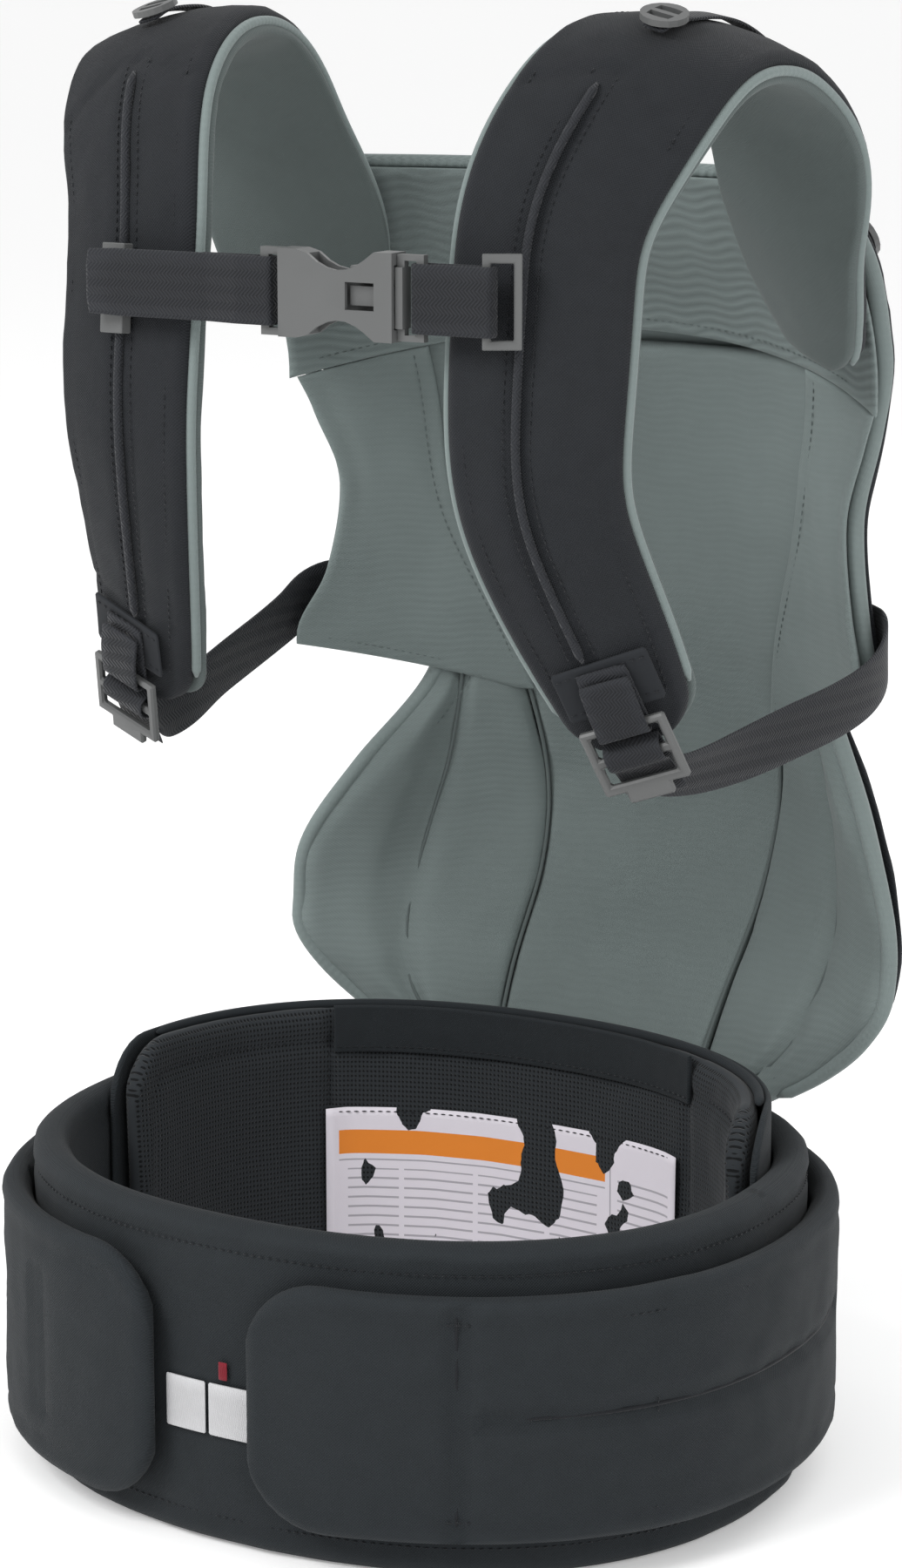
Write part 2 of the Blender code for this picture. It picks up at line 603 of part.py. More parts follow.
def make_strap(side_name, side):
    strap_layer("strap_lining_" + side_name, side, -0.0012, lambda a, h: STRAP_LINING_BOTTOM,
                lambda a, h: STRAP_LINING_TOP, "grey_lining")
    inner_half_gap = STRAP_WALL + 0.0012
    strap_layer("strap_foam_" + side_name, side, inner_half_gap, lambda a, h: STRAP_LINING_TOP + 9 * GAP,
                lambda a, h: crown(a, h + inner_half_gap) - STRAP_WALL - 0.0018, "foam", trim=0.004)
    strap_cover("strap_cover_" + side_name, side)
    face = STRAP_CROWN + GAP
    rail_face, rail_side = face, inward(RAIL_OFFSET, side)
    strap_ribbon("strap_rail_" + side_name, side, along_for_height(RAIL_Z[0]) + 0.016,
                 along_for_height(RAIL_Z[1]), RAIL_WIDTH / 2, rail_face, rail_face + RAIL_HEIGHT,
                 "webbing", rows=20, offset=rail_side)
    strap_ribbon("end_patch_" + side_name, side, 0.018, 0.040, 0.019, face + 0.0001, face + 0.0012,
                 "strap_cloth", rows=5)
    middle = face + 0.0012 + GAP + WEB_THICKNESS / 2
    bar = LOCK_LIFT
    loop = [(0.037, middle), (0.018, middle - 0.0002), (0.0092, bar - 0.0027), (0.0092, bar + 0.0027),
            (0.022, bar + 0.0025), (0.033, middle + 0.0024)]
    corners = [strap_point(s, side, t) for s, t in loop]
    _, _, across, _, _ = strap_frame(0.015, side)
    path_ribbon("adjuster_loop_" + side_name, bent_path(corners, 0.0020, 4), across, 0.010, WEB_THICKNESS,
                "webbing")
    lifter = (STRAP[STRAP_APEX_ROW, 0] - 0.006, STRAP[STRAP_APEX_ROW, 0] + 0.064)
    strap_ribbon("lifter_web_" + side_name, side, lifter[0] - 0.006, lifter[1], 0.0045, face + 0.0003,
                 face + 0.0015, "webbing", rows=12)
    lifter_disc("lifter_disc_" + side_name, lifter[0], side, face + 0.0015 + GAP)


# ---- moulded hardware ----

def cells(name, xs, ys, zs, filled, place, slot, warp=None, pivot=(0.0, 0.0, 0.0), bevel=0.0):
    """A body made of box cells; filled says which cells hold material."""
    size = (len(xs) - 1, len(ys) - 1, len(zs) - 1)
    centres = [[(a + b) / 2 for a, b in zip(line, line[1:])] for line in (xs, ys, zs)]
    solid = np.zeros(size, bool)
    for i in range(size[0]):
        for j in range(size[1]):
            for k in range(size[2]):
                solid[i, j, k] = filled(centres[0][i], centres[1][j], centres[2][k])
    index, vertices, faces = {}, [], []

    def corner(i, j, k):
        if (i, j, k) not in index:
            point = np.array([xs[i], ys[j], zs[k]], float)
            if warp:
                point = np.asarray(warp(point), float)
            index[(i, j, k)] = len(vertices)
            vertices.append(place(point))
        return index[(i, j, k)]

    for i, j, k in np.argwhere(solid):
        for axis in range(3):
            for way in (0, 1):
                beside = [i, j, k]
                beside[axis] += 1 if way else -1
                inside = all(0 <= beside[a] < size[a] for a in range(3))
                if inside and solid[tuple(beside)]:
                    continue
                others = [a for a in range(3) if a != axis]
                quad = []
                for da, db in ((0, 0), (1, 0), (1, 1), (0, 1)):
                    at = [i, j, k]
                    at[axis] += way
                    at[others[0]] += da
                    at[others[1]] += db
                    quad.append(corner(*at))
                faces.append(quad)
    made = write_solid(name, vertices, faces, slot, pivot)
    if bevel:
        rounding = made.modifiers.new("rounding", "BEVEL")
        rounding.width = bevel
        rounding.segments = 1
        rounding.limit_method = "ANGLE"
        rounding.angle_limit = math.radians(40)
    return made


def local_place(centre, x_way, y_way, z_way):
    centre = np.asarray(centre, float)
    return lambda p: centre + x_way * p[0] + y_way * p[1] + z_way * p[2]


def round_off(half_x, half_y):
    """Squeeze a square plate into a round one."""
    def warp(p):
        x, y = p[0] / half_x, p[1] / half_y
        return (half_x * x * math.sqrt(1 - y * y / 2), half_y * y * math.sqrt(1 - x * x / 2), p[2])
    return warp


def slotted_disc(name, centre, x_way, y_way, z_way, pivot):
    """A round slider with a bar across its middle."""
    r = DISC_RADIUS
    lines = [-r, -0.58 * r, -0.14 * r, 0.14 * r, 0.58 * r, r]

    def filled(x, y, z):
        return not (abs(x) < 0.58 * r and 0.14 * r < abs(y) < 0.58 * r)

    cells(name, lines, lines, [0.0, DISC_THICKNESS], filled, local_place(centre, x_way, y_way, z_way),
          "grey_plastic", warp=round_off(r, r), pivot=pivot)


def lifter_disc(name, along, side, lift):
    centre, up, across, out, _ = strap_frame(along, side)
    at = centre + out * lift
    slotted_disc(name, at, across, up, out, at + up * DISC_RADIUS)


def make_lock(side_name, side):
    """Ladder lock at the strap's lower end: a frame with three bars and a thumb tab."""
    _, up, across, out, _ = strap_frame(0.004, side)
    base = strap_point(0.0, side, LOCK_LIFT)
    half_w, half_l = LOCK_WIDTH / 2, LOCK_LENGTH / 2
    rim, tab, tab_length = 0.0035, 0.009, 0.005
    foot, bar_half, top_bar = 0.004, 0.0018, 0.003
    xs = [-half_w, -half_w + rim, -tab, 0.0, tab, half_w - rim, half_w]
    ys = [-half_l - tab_length, -half_l, -half_l + foot, -bar_half, bar_half, half_l - top_bar, half_l]

    def filled(x, y, _):
        if y < -half_l:
            return abs(x) < tab
        in_slot = bar_half < y < half_l - top_bar or foot - half_l < y < -bar_half
        return not (in_slot and abs(x) < half_w - rim)

    middle = base + up * LOCK_CENTRE_ALONG
    hinge = middle + up * (half_l - 0.0015)
    cells("ladder_lock_" + side_name, xs, ys, [-LOCK_THICKNESS / 2, LOCK_THICKNESS / 2], filled,
          local_place(middle, across, up, out), "grey_plastic", pivot=hinge, bevel=0.0008)


def make_adjuster_web(side_name, side):
    """Webbing from under the ladder lock round the panel's edge to its outer face."""
    start = [strap_point(s, side, t) for s, t in ((0.006, 0.0105), (-0.003, 0.0100), (-0.011, 0.0072))]
    _, _, across, _, _ = strap_frame(0.0, side)
    across = across * (1 if across[2] > 0 else -1)
    up = np.array([0.0, 0.0, 1.0])
    mirror = np.array([side, 1.0, 1.0])
    rest = [np.array(p) * mirror for p in ((0.1195, 0.002, 0.2865), (0.1245, 0.030, 0.2880),
                                           (0.1315, 0.062, 0.2925), (0.1375, 0.095, 0.2970),
                                           (0.1395, 0.118, 0.3020))]
    edge = []
    for x, lift in ((0.1260, 0.0118), (0.1160, 0.0122), (0.104, 0.0122), (0.090, 0.0122)):
        point, out = panel_at(x, 0.3145)
        edge.append((point + out * lift) * mirror)
    turn = np.array([0.1380, 0.134, 0.3085]) * mirror
    path = start + rest + [turn] + edge
    blend = [0.0, 0.05, 0.25, 0.6, 0.85, 1.0, 1.0, 1.0, 1.0] + [1.0] * len(edge)
    wide = [unit(across * (1 - b) + up * b) for b in blend]
    smooth_path, smooth_wide = [], []
    keys = np.concatenate([[0.0], np.cumsum([np.linalg.norm(b - a) for a, b in zip(path, path[1:])])])
    table = np.column_stack([keys, path, wide])
    for at in np.linspace(0.0, keys[-1], 22):
        row = smooth_table(table, at)
        smooth_path.append(row[:3])
        smooth_wide.append(unit(row[3:6]))
    path_ribbon("adjuster_web_" + side_name, smooth_path, np.array(smooth_wide), 0.0112, WEB_THICKNESS,
                "webbing")


def make_side_web(side_name, side):
    """Webbing down the panel's outer face near its edge, with a slotted disc near the top."""
    mirror = np.array([side, 1.0, 1.0])
    path = []
    for height in np.linspace(0.331, 0.488, 10):
        point, out = panel_at(upper_half(height) - 0.020, height)
        path.append((point + out * (OUTER_TOP + 0.0016)) * mirror)
    point, out = panel_at(upper_half(0.41) - 0.020, 0.41)
    across = np.cross((0.0, 0.0, 1.0), out) * mirror
    path_ribbon("side_web_" + side_name, path, across, 0.010, WEB_THICKNESS, "webbing")
    height = 0.470
    point, out = panel_at(upper_half(height) - 0.020, height)
    at = (point + out * (OUTER_TOP + 0.0046)) * mirror
    out = out * mirror
    up = unit(np.array([0.0, 0.0, 1.0]) - out * out[2])
    slotted_disc("side_disc_" + side_name, at, np.cross(up, out), up, out, at + up * DISC_RADIUS)


# ---- chest strap ----

BAR_HALF = 0.0015
FEMALE_X = (-0.0160, -0.0125, -0.0065, 0.0415)
MALE_X = (0.0418, 0.0448, 0.0498, 0.0528)
RING_X = (0.0760, 0.0790, 0.0872, 0.0902)
WEB_CLEARANCE = 0.0006
WEB_STANDOFF = BAR_HALF + WEB_CLEARANCE + WEB_THICKNESS / 2
WEB_BEND = 0.0016
PRONG_TIP_X = 0.0225
PRONG_ROOT_X = 0.0412
PRONG_Z = (0.0063, 0.0108)
WAIST_X = (0.019, 0.0145)
WAIST_DEPTH = 0.0070


def chest_place(p):
    """Buckle pieces are drawn with x along the strap, y out of the page and z up."""
    return np.array([p[0], CHEST_Y + p[1], CHEST_Z + p[2]])


def make_female():
    half = BUCKLE_HEIGHT / 2
    xs = list(FEMALE_X[:3]) + [0.001, 0.006, 0.010, 0.014, 0.018, 0.022, 0.026, 0.030, 0.034, 0.038, FEMALE_X[3]]
    ys = [-0.005, -0.0033, -BAR_HALF, BAR_HALF, 0.0033, 0.005]
    zs = [-half, -0.0133, -0.0115, -0.005, 0.005, 0.0115, 0.0133, half]

    def filled(x, y, z):
        if x < FEMALE_X[1]:
            return abs(y) < BAR_HALF
        if x < FEMALE_X[2]:
            return abs(y) < BAR_HALF and abs(z) > 0.0133
        if x < 0.001:
            return True
        if abs(y) < 0.0033 and abs(z) < 0.0115:
            return False
        if abs(y) < 0.0033 and 0.006 < x < 0.034:
            return False
        if y < -0.0033 and 0.022 < x < 0.034 and abs(z) < 0.005:
            return False
        return True

    def warp(p):
        x, y, z = p
        pinch = max(0.0, 1 - ((x - WAIST_X[0]) / WAIST_X[1]) ** 2)
        over = max(0.0, abs(z) - 0.005) / (half - 0.005)
        return x, y, math.copysign(abs(z) - WAIST_DEPTH * pinch * over, z)

    cells("buckle_female", xs, ys, zs, filled, chest_place, "grey_plastic", warp=warp)


def make_male(pivot):
    rail = (0.0133, 0.0155)
    xs = [PRONG_TIP_X, *MALE_X]
    ys = [-0.003, -0.002, -BAR_HALF, BAR_HALF, 0.002, 0.003]
    zs = [-rail[1], -rail[0], -0.011, -0.0035, 0.0035, 0.011, rail[0], rail[1]]

    def filled(x, y, z):
        if x < MALE_X[0]:
            return abs(z) < 0.0035 and abs(y) < 0.002
        if x < MALE_X[1]:
            return abs(z) < 0.011 or abs(y) < BAR_HALF
        if x < MALE_X[2]:
            return abs(z) > rail[0] and abs(y) < BAR_HALF
        return abs(y) < BAR_HALF

    cells("buckle_male", xs, ys, zs, filled, chest_place, "grey_plastic", pivot=pivot)
    for name, way in (("prong_upper", 1), ("prong_lower", -1)):
        low, high = sorted((PRONG_Z[0] * way, PRONG_Z[1] * way))
        hinge = chest_place((PRONG_ROOT_X, 0.0, way * sum(PRONG_Z) / 2))
        cells(name, [PRONG_TIP_X, 0.030, PRONG_ROOT_X], [-0.0025, 0.0025], [low, high], lambda x, y, z: True,
              chest_place, "grey_plastic", pivot=hinge, bevel=0.0005)


def make_chest_webs(pivot):
    front, back = -WEB_STANDOFF, WEB_STANDOFF
    up = (0.0, 0.0, 1.0)
    bar = (FEMALE_X[0] + FEMALE_X[1]) / 2
    turn = FEMALE_X[1] + WEB_CLEARANCE + WEB_THICKNESS / 2
    corners = [(-0.0940, 0.0), (-0.040, 0.0), (-0.026, front), (bar, front), (turn, front), (turn, back),
               (bar, back), (-0.024, back), (-0.032, 0.0024), (-0.046, 0.0024)]
    path = bent_path([chest_place((x, y, 0.0)) for x, y in corners], WEB_BEND, 5)
    path_ribbon("chest_web_left", path, up, WEB_WIDTH / 2, WEB_THICKNESS, "webbing", pivot=pivot)
    left = MALE_X[2] - WEB_CLEARANCE - WEB_THICKNESS / 2
    right = RING_X[1] + WEB_CLEARANCE + WEB_THICKNESS / 2
    start = (MALE_X[3] + RING_X[0]) / 2
    loop = [(start, front), (left, front), (left, back), (right, back), (right, front), (start, front)]
    path = bent_path([chest_place((x, y, 0.0)) for x, y in loop], WEB_BEND, 5)[:-1]
    web_front, web_back = [], []
    for i, point in enumerate(path):
        direction = unit(path[(i + 1) % len(path)] - path[i - 1])
        out = unit(np.cross(direction, up)) * WEB_THICKNESS / 2
        wide = np.array([0.0, 0.0, WEB_WIDTH / 2])
        web_front.append([point - wide + out, point + wide + out])
        web_back.append([point - wide - out, point + wide - out])
    grid_shell("chest_web_right", web_front, web_back, "webbing", closed=True, pivot=pivot)


def make_sliders():
    along = along_for_height(CHEST_Z)
    centre, up, across, out, _ = strap_frame(along, -1)
    centre = centre + across * inward(RAIL_OFFSET, -1)
    grip = RAIL_WIDTH / 2 + SLIDER_CLEARANCE
    xs = [-0.006, -grip, grip, 0.006]
    lift = (STRAP_CROWN + 0.0010, STRAP_CROWN + GAP + RAIL_HEIGHT + SLIDER_CLEARANCE, 0.0150)

    def filled(x, y, z):
        return z > lift[1] or abs(x) > grip

    place = local_place(centre, across, up, out)
    cells("chest_slider_left", xs, [-0.0210, 0.0125], list(lift), filled, place, "grey_plastic",
          pivot=place((0.0, 0.0, 0.0)), bevel=0.0004)

    tilt = math.radians(RING_TILT_DEG)
    along_ring = np.array([math.cos(tilt), math.sin(tilt), 0.0])
    out_ring = np.array([math.sin(tilt), -math.cos(tilt), 0.0])
    ring_middle = (RING_X[0] + RING_X[1]) / 2
    start = np.array([ring_middle, CHEST_Y, CHEST_Z])
    half_z, inner_z = 0.0170, 0.0136
    reach = [x - ring_middle for x in RING_X]
    foot = 0.0068
    xs = [reach[0], reach[1], foot - 0.0002, foot + 0.0025, reach[2], reach[3]]
    zs = [-half_z, -inner_z, inner_z, half_z]
    ts = [-0.0020, -0.0013, 0.0013]

    def ring_filled(x, z, t):
        if t < -0.0013:
            return abs(z) > inner_z and foot - 0.0002 < x < foot + 0.0025
        return abs(z) > inner_z or x < reach[1] or x > reach[2]

    def ring_place(p):
        return start + along_ring * p[0] + np.array([0.0, 0.0, p[1]]) + out_ring * p[2]

    cells("chest_ring_right", xs, zs, ts, ring_filled, ring_place, "grey_plastic",
          pivot=start + along_ring * foot, bevel=0.0005)


def main():
    clear_scene()
    make_belt()
    make_panel()
    for side_name, side in (("left", -1), ("right", 1)):
        make_strap(side_name, side)
        make_lock(side_name, side)
        make_adjuster_web(side_name, side)
        make_side_web(side_name, side)
    pivot = np.array([0.0, CHEST_Y, CHEST_Z])
    make_female()
    make_male(pivot)
    make_chest_webs(pivot)
    make_sliders()


main()
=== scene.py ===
"""Soft baby carrier: sewn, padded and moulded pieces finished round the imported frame."""
import json
import math

import bmesh
import bpy
import numpy as np
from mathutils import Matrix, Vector, noise


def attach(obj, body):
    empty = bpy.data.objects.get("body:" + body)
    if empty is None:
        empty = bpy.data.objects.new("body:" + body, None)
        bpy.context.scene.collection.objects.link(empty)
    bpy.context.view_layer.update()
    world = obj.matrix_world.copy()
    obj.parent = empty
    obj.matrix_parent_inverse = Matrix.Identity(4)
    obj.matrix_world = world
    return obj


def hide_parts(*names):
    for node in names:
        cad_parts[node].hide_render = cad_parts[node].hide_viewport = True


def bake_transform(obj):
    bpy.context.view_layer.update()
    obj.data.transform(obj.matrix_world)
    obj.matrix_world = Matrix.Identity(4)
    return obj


bl_info = {
    "name": "Soft baby carrier",
    "version": (1, 0, 0),
    "blender": (4, 5, 0),
    "location": "3D View > Sidebar > Carrier",
    "description": "Finishes the cloth, padding, webbing and plastic of a soft baby carrier",
    "category": "Object",
}

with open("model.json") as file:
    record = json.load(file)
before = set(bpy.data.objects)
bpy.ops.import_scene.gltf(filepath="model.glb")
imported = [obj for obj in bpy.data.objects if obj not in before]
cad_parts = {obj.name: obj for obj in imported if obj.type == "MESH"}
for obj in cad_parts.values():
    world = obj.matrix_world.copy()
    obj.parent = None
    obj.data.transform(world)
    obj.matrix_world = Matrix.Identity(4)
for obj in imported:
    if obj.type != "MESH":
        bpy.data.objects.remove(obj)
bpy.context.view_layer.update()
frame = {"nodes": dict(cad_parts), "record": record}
SIDES = (("left", -1.0), ("right", 1.0))


# ---- sizes and colours ----

def length_setting(name, text, value):
    return bpy.props.FloatProperty(name=name, description=text, default=value, min=0.0, unit="LENGTH",
                                   precision=5)


def colour_setting(name, text, value):
    return bpy.props.FloatVectorProperty(name=name, description=text, default=value, min=0.0, max=1.0,
                                         size=3, subtype="COLOR")


class CarrierSizes(bpy.types.PropertyGroup):
    stitch_pitch: length_setting("Stitch pitch", "Distance from one stitch to the next", 0.0034)
    stitch_length: length_setting("Stitch length", "Length of one visible stitch", 0.0024)
    thread_width: length_setting("Thread width", "Width of the sewing thread", 0.0006)
    rib_pitch: length_setting("Rib pitch", "Distance between the ribs of the lining mesh", 0.0032)
    weave_pitch: length_setting("Weave pitch", "Distance between threads of the outer cloth", 0.0011)
    webbing_pitch: length_setting("Webbing pitch", "Distance between the ribs of the webbing", 0.0016)
    hole_pitch: length_setting("Mesh hole pitch", "Distance between holes of the spacer mesh", 0.0030)
    seam_depth: length_setting("Seam depth", "How far a sewn seam pulls into the padding", 0.0022)
    seam_width: length_setting("Seam width", "Width of the dip beside a sewn seam", 0.0030)
    wrinkle_height: length_setting("Wrinkle height", "Height of the soft wrinkles in the cloth", 0.0009)
    piping_radius: length_setting("Piping radius", "Radius of the rolled cloth edges", 0.0016)
    pad_rise: length_setting("Pad rise", "Most that a pad may swell above its pattern", 0.0030)


class CarrierColours(bpy.types.PropertyGroup):
    slate: colour_setting("Slate cloth", "Outer cloth of the waist belt", (0.0158, 0.0190, 0.0216))
    charcoal: colour_setting("Charcoal cloth", "Outer cloth of the shoulder straps", (0.0150, 0.0166, 0.0192))
    lining: colour_setting("Grey lining", "Soft lining of the panel and the straps", (0.148, 0.178, 0.174))
    mesh: colour_setting("Spacer mesh", "Breathing mesh inside the belt", (0.0175, 0.0200, 0.0225))
    webbing: colour_setting("Webbing", "Strap webbing", (0.0150, 0.0162, 0.0190))
    plastic: colour_setting("Grey plastic", "Buckles, locks and sliders", (0.068, 0.070, 0.070))
    tape: colour_setting("White tape", "Small reflecting tabs", (0.47, 0.47, 0.48))
    label: colour_setting("Label satin", "Cloth of the care label", (0.74, 0.70, 0.76))
    label_band: colour_setting("Label band", "Coloured band along the label", (0.78, 0.24, 0.03))
    tag: colour_setting("Size tag", "Small red tag", (0.16, 0.012, 0.02))
    thread: colour_setting("Thread", "Dark sewing thread", (0.010, 0.011, 0.013))
    lining_thread: colour_setting("Lining thread", "Thread on the grey lining", (0.085, 0.102, 0.100))


def sizes():
    return bpy.context.scene.carrier_sizes


def colours():
    return bpy.context.scene.carrier_colours


# ---- shader node groups ----

class Nodes:
    """A short way to place and join nodes in one tree."""

    def __init__(self, tree):
        self.tree = tree

    def add(self, kind, **settings):
        node = self.tree.nodes.new(kind)
        for key, value in settings.items():
            setattr(node, key, value)
        return node

    def link(self, source, target):
        self.tree.links.new(source, target)

    def put(self, target, value):
        if isinstance(value, bpy.types.NodeSocket):
            self.link(value, target)
        else:
            target.default_value = value

    def math(self, operation, *values, clamp=False):
        node = self.add("ShaderNodeMath", operation=operation, use_clamp=clamp)
        for socket, value in zip(node.inputs, values):
            self.put(socket, value)
        return node.outputs[0]

    def mix(self, factor, first, second, blend="MIX"):
        node = self.add("ShaderNodeMix", data_type="RGBA", blend_type=blend)
        self.put(node.inputs["Factor"], factor)
        self.put(node.inputs[6], first)
        self.put(node.inputs[7], second)
        return node.outputs[2]

    def noise(self, vector, scale, detail=3.0, roughness=0.55):
        node = self.add("ShaderNodeTexNoise")
        self.link(vector, node.inputs["Vector"])
        self.put(node.inputs["Scale"], scale)
        node.inputs["Detail"].default_value = detail
        node.inputs["Roughness"].default_value = roughness
        return node.outputs["Fac"]

    def split(self, vector):
        node = self.add("ShaderNodeSeparateXYZ")
        self.link(vector, node.inputs[0])
        return node.outputs

    def ramp(self, value, low, high):
        node = self.add("ShaderNodeMapRange", interpolation_type="SMOOTHSTEP")
        self.put(node.inputs["Value"], value)
        self.put(node.inputs["From Min"], low)
        self.put(node.inputs["From Max"], high)
        return node.outputs["Result"]


def new_group(name, inputs, outputs):
    """A shader group with named sockets, or the one made before."""
    found = bpy.data.node_groups.get(name)
    if found:
        return found, None, None, None
    tree = bpy.data.node_groups.new(name, "ShaderNodeTree")
    for label, kind, value in inputs:
        socket = tree.interface.new_socket(label, in_out="INPUT", socket_type=kind)
        if value is not None:
            socket.default_value = value
    for label, kind in outputs:
        tree.interface.new_socket(label, in_out="OUTPUT", socket_type=kind)
    nodes = Nodes(tree)
    return tree, nodes, nodes.add("NodeGroupInput"), nodes.add("NodeGroupOutput")


def weave_group():
    """Plain weave: threads over and under, with uneven yarn. Puts out a height and a shade for painted light
    and shade: darker where threads pass under, lighter where they pass over, with the uneven tone of the yarn.
    """
    tree, nodes, start, end = new_group(
        "plain weave", [("Vector", "NodeSocketVector", None), ("Pitch", "NodeSocketFloat", 0.001),
                        ("Slub", "NodeSocketFloat", 0.5)],
        [("Height", "NodeSocketFloat"), ("Shade", "NodeSocketFloat")])
    if nodes is None:
        return tree
    x, y, z = nodes.split(start.outputs["Vector"])
    turn = nodes.math("DIVIDE", 2 * math.pi, start.outputs["Pitch"])
    u = nodes.math("MULTIPLY", nodes.math("ADD", x, nodes.math("MULTIPLY", z, 0.62)), turn)
    v = nodes.math("MULTIPLY", nodes.math("SUBTRACT", y, nodes.math("MULTIPLY", z, 0.79)), turn)
    warp = nodes.math("SINE", u)
    weft = nodes.math("SINE", v)
    over = nodes.math("MULTIPLY", nodes.math("MULTIPLY", warp, weft), 0.5)
    slub = nodes.noise(start.outputs["Vector"], nodes.math("DIVIDE", 0.12, start.outputs["Pitch"]), 2.0)
    height = nodes.math("ADD", over, nodes.math("MULTIPLY", slub, start.outputs["Slub"]))
    nodes.link(height, end.inputs["Height"])
    nodes.link(nodes.math("ADD", nodes.math("MULTIPLY", height, 0.5), 0.35, clamp=True), end.inputs["Shade"])
    return tree


def rib_group():
    """Wavy ribs that run across a knitted lining; the shade output marks the troughs for painted shade."""
    tree, nodes, start, end = new_group(
        "wavy ribs", [("Vector", "NodeSocketVector", None), ("Pitch", "NodeSocketFloat", 0.003),
                      ("Wander", "NodeSocketFloat", 0.0012)],
        [("Height", "NodeSocketFloat"), ("Shade", "NodeSocketFloat")])
    if nodes is None:
        return tree
    x, y, z = nodes.split(start.outputs["Vector"])
    bend = nodes.math("MULTIPLY", nodes.math("SINE", nodes.math("MULTIPLY", x, 260.0)),
                      start.outputs["Wander"])
    drift = nodes.math("MULTIPLY", nodes.noise(start.outputs["Vector"], 22.0, 2.0), 0.006)
    place = nodes.math("ADD", nodes.math("ADD", y, bend), drift)
    wave = nodes.math("SINE", nodes.math("MULTIPLY", place,
                                         nodes.math("DIVIDE", 2 * math.pi, start.outputs["Pitch"])))
    height = nodes.math("ADD", nodes.math("MULTIPLY", wave, 0.5), 0.5)
    nodes.link(height, end.inputs["Height"])
    nodes.link(nodes.ramp(height, 0.05, 0.75), end.inputs["Shade"])
    return tree


def wear_and_highlight_group():
    """Handling and painted highlight: soft blotches and lint, and a painted highlight on convex edges. Puts out
    masks only.
    """
    tree, nodes, start, end = new_group(
        "handling and edge highlight", [("Vector", "NodeSocketVector", None), ("Patch Scale", "NodeSocketFloat", 14.0),
                     ("Lint Scale", "NodeSocketFloat", 900.0)],
        [("Blotch", "NodeSocketFloat"), ("Lint", "NodeSocketFloat"), ("Edge", "NodeSocketFloat")])
    if nodes is None:
        return tree
    blotch = nodes.noise(start.outputs["Vector"], start.outputs["Patch Scale"], 4.0, 0.6)
    lint = nodes.noise(start.outputs["Vector"], start.outputs["Lint Scale"], 1.0, 0.5)
    nodes.link(nodes.ramp(blotch, 0.30, 0.72), end.inputs["Blotch"])
    nodes.link(nodes.ramp(lint, 0.66, 0.80), end.inputs["Lint"])
    # Painted highlight: convex edges, found by pointiness, are marked to be painted lighter.
    geometry = nodes.add("ShaderNodeNewGeometry")
    nodes.link(nodes.ramp(geometry.outputs["Pointiness"], 0.505, 0.56), end.inputs["Edge"])
    return tree


def shade(colour, factor):
    return tuple(min(1.0, channel * factor) for channel in colour)


def opaque(colour):
    return (*colour[:3], 1.0)


def start_material(name, roughness, sheen=0.0, sheen_roughness=0.4):
    made = bpy.data.materials.new(name)
    made.use_nodes = True
    shader = made.node_tree.nodes["Principled BSDF"]
    shader.inputs["Roughness"].default_value = roughness
    shader.inputs["Sheen Weight"].default_value = sheen
    shader.inputs["Sheen Roughness"].default_value = sheen_roughness
    shader.inputs["Specular IOR Level"].default_value = 0.22
    return made, Nodes(made.node_tree), shader


def place_group(nodes, tree, vector, **values):
    node = nodes.add("ShaderNodeGroup", node_tree=tree)
    nodes.link(vector, node.inputs["Vector"])
    for key, value in values.items():
        node.inputs[key.replace("_", " ")].default_value = value
    return node


def bump(nodes, shader, height, strength, distance, below=None):
    node = nodes.add("ShaderNodeBump")
    node.inputs["Strength"].default_value = strength
    node.inputs["Distance"].default_value = distance
    nodes.link(height, node.inputs["Height"])
    if below is not None:
        nodes.link(below, node.inputs["Normal"])
    nodes.link(node.outputs["Normal"], shader.inputs["Normal"])
    return node.outputs["Normal"]


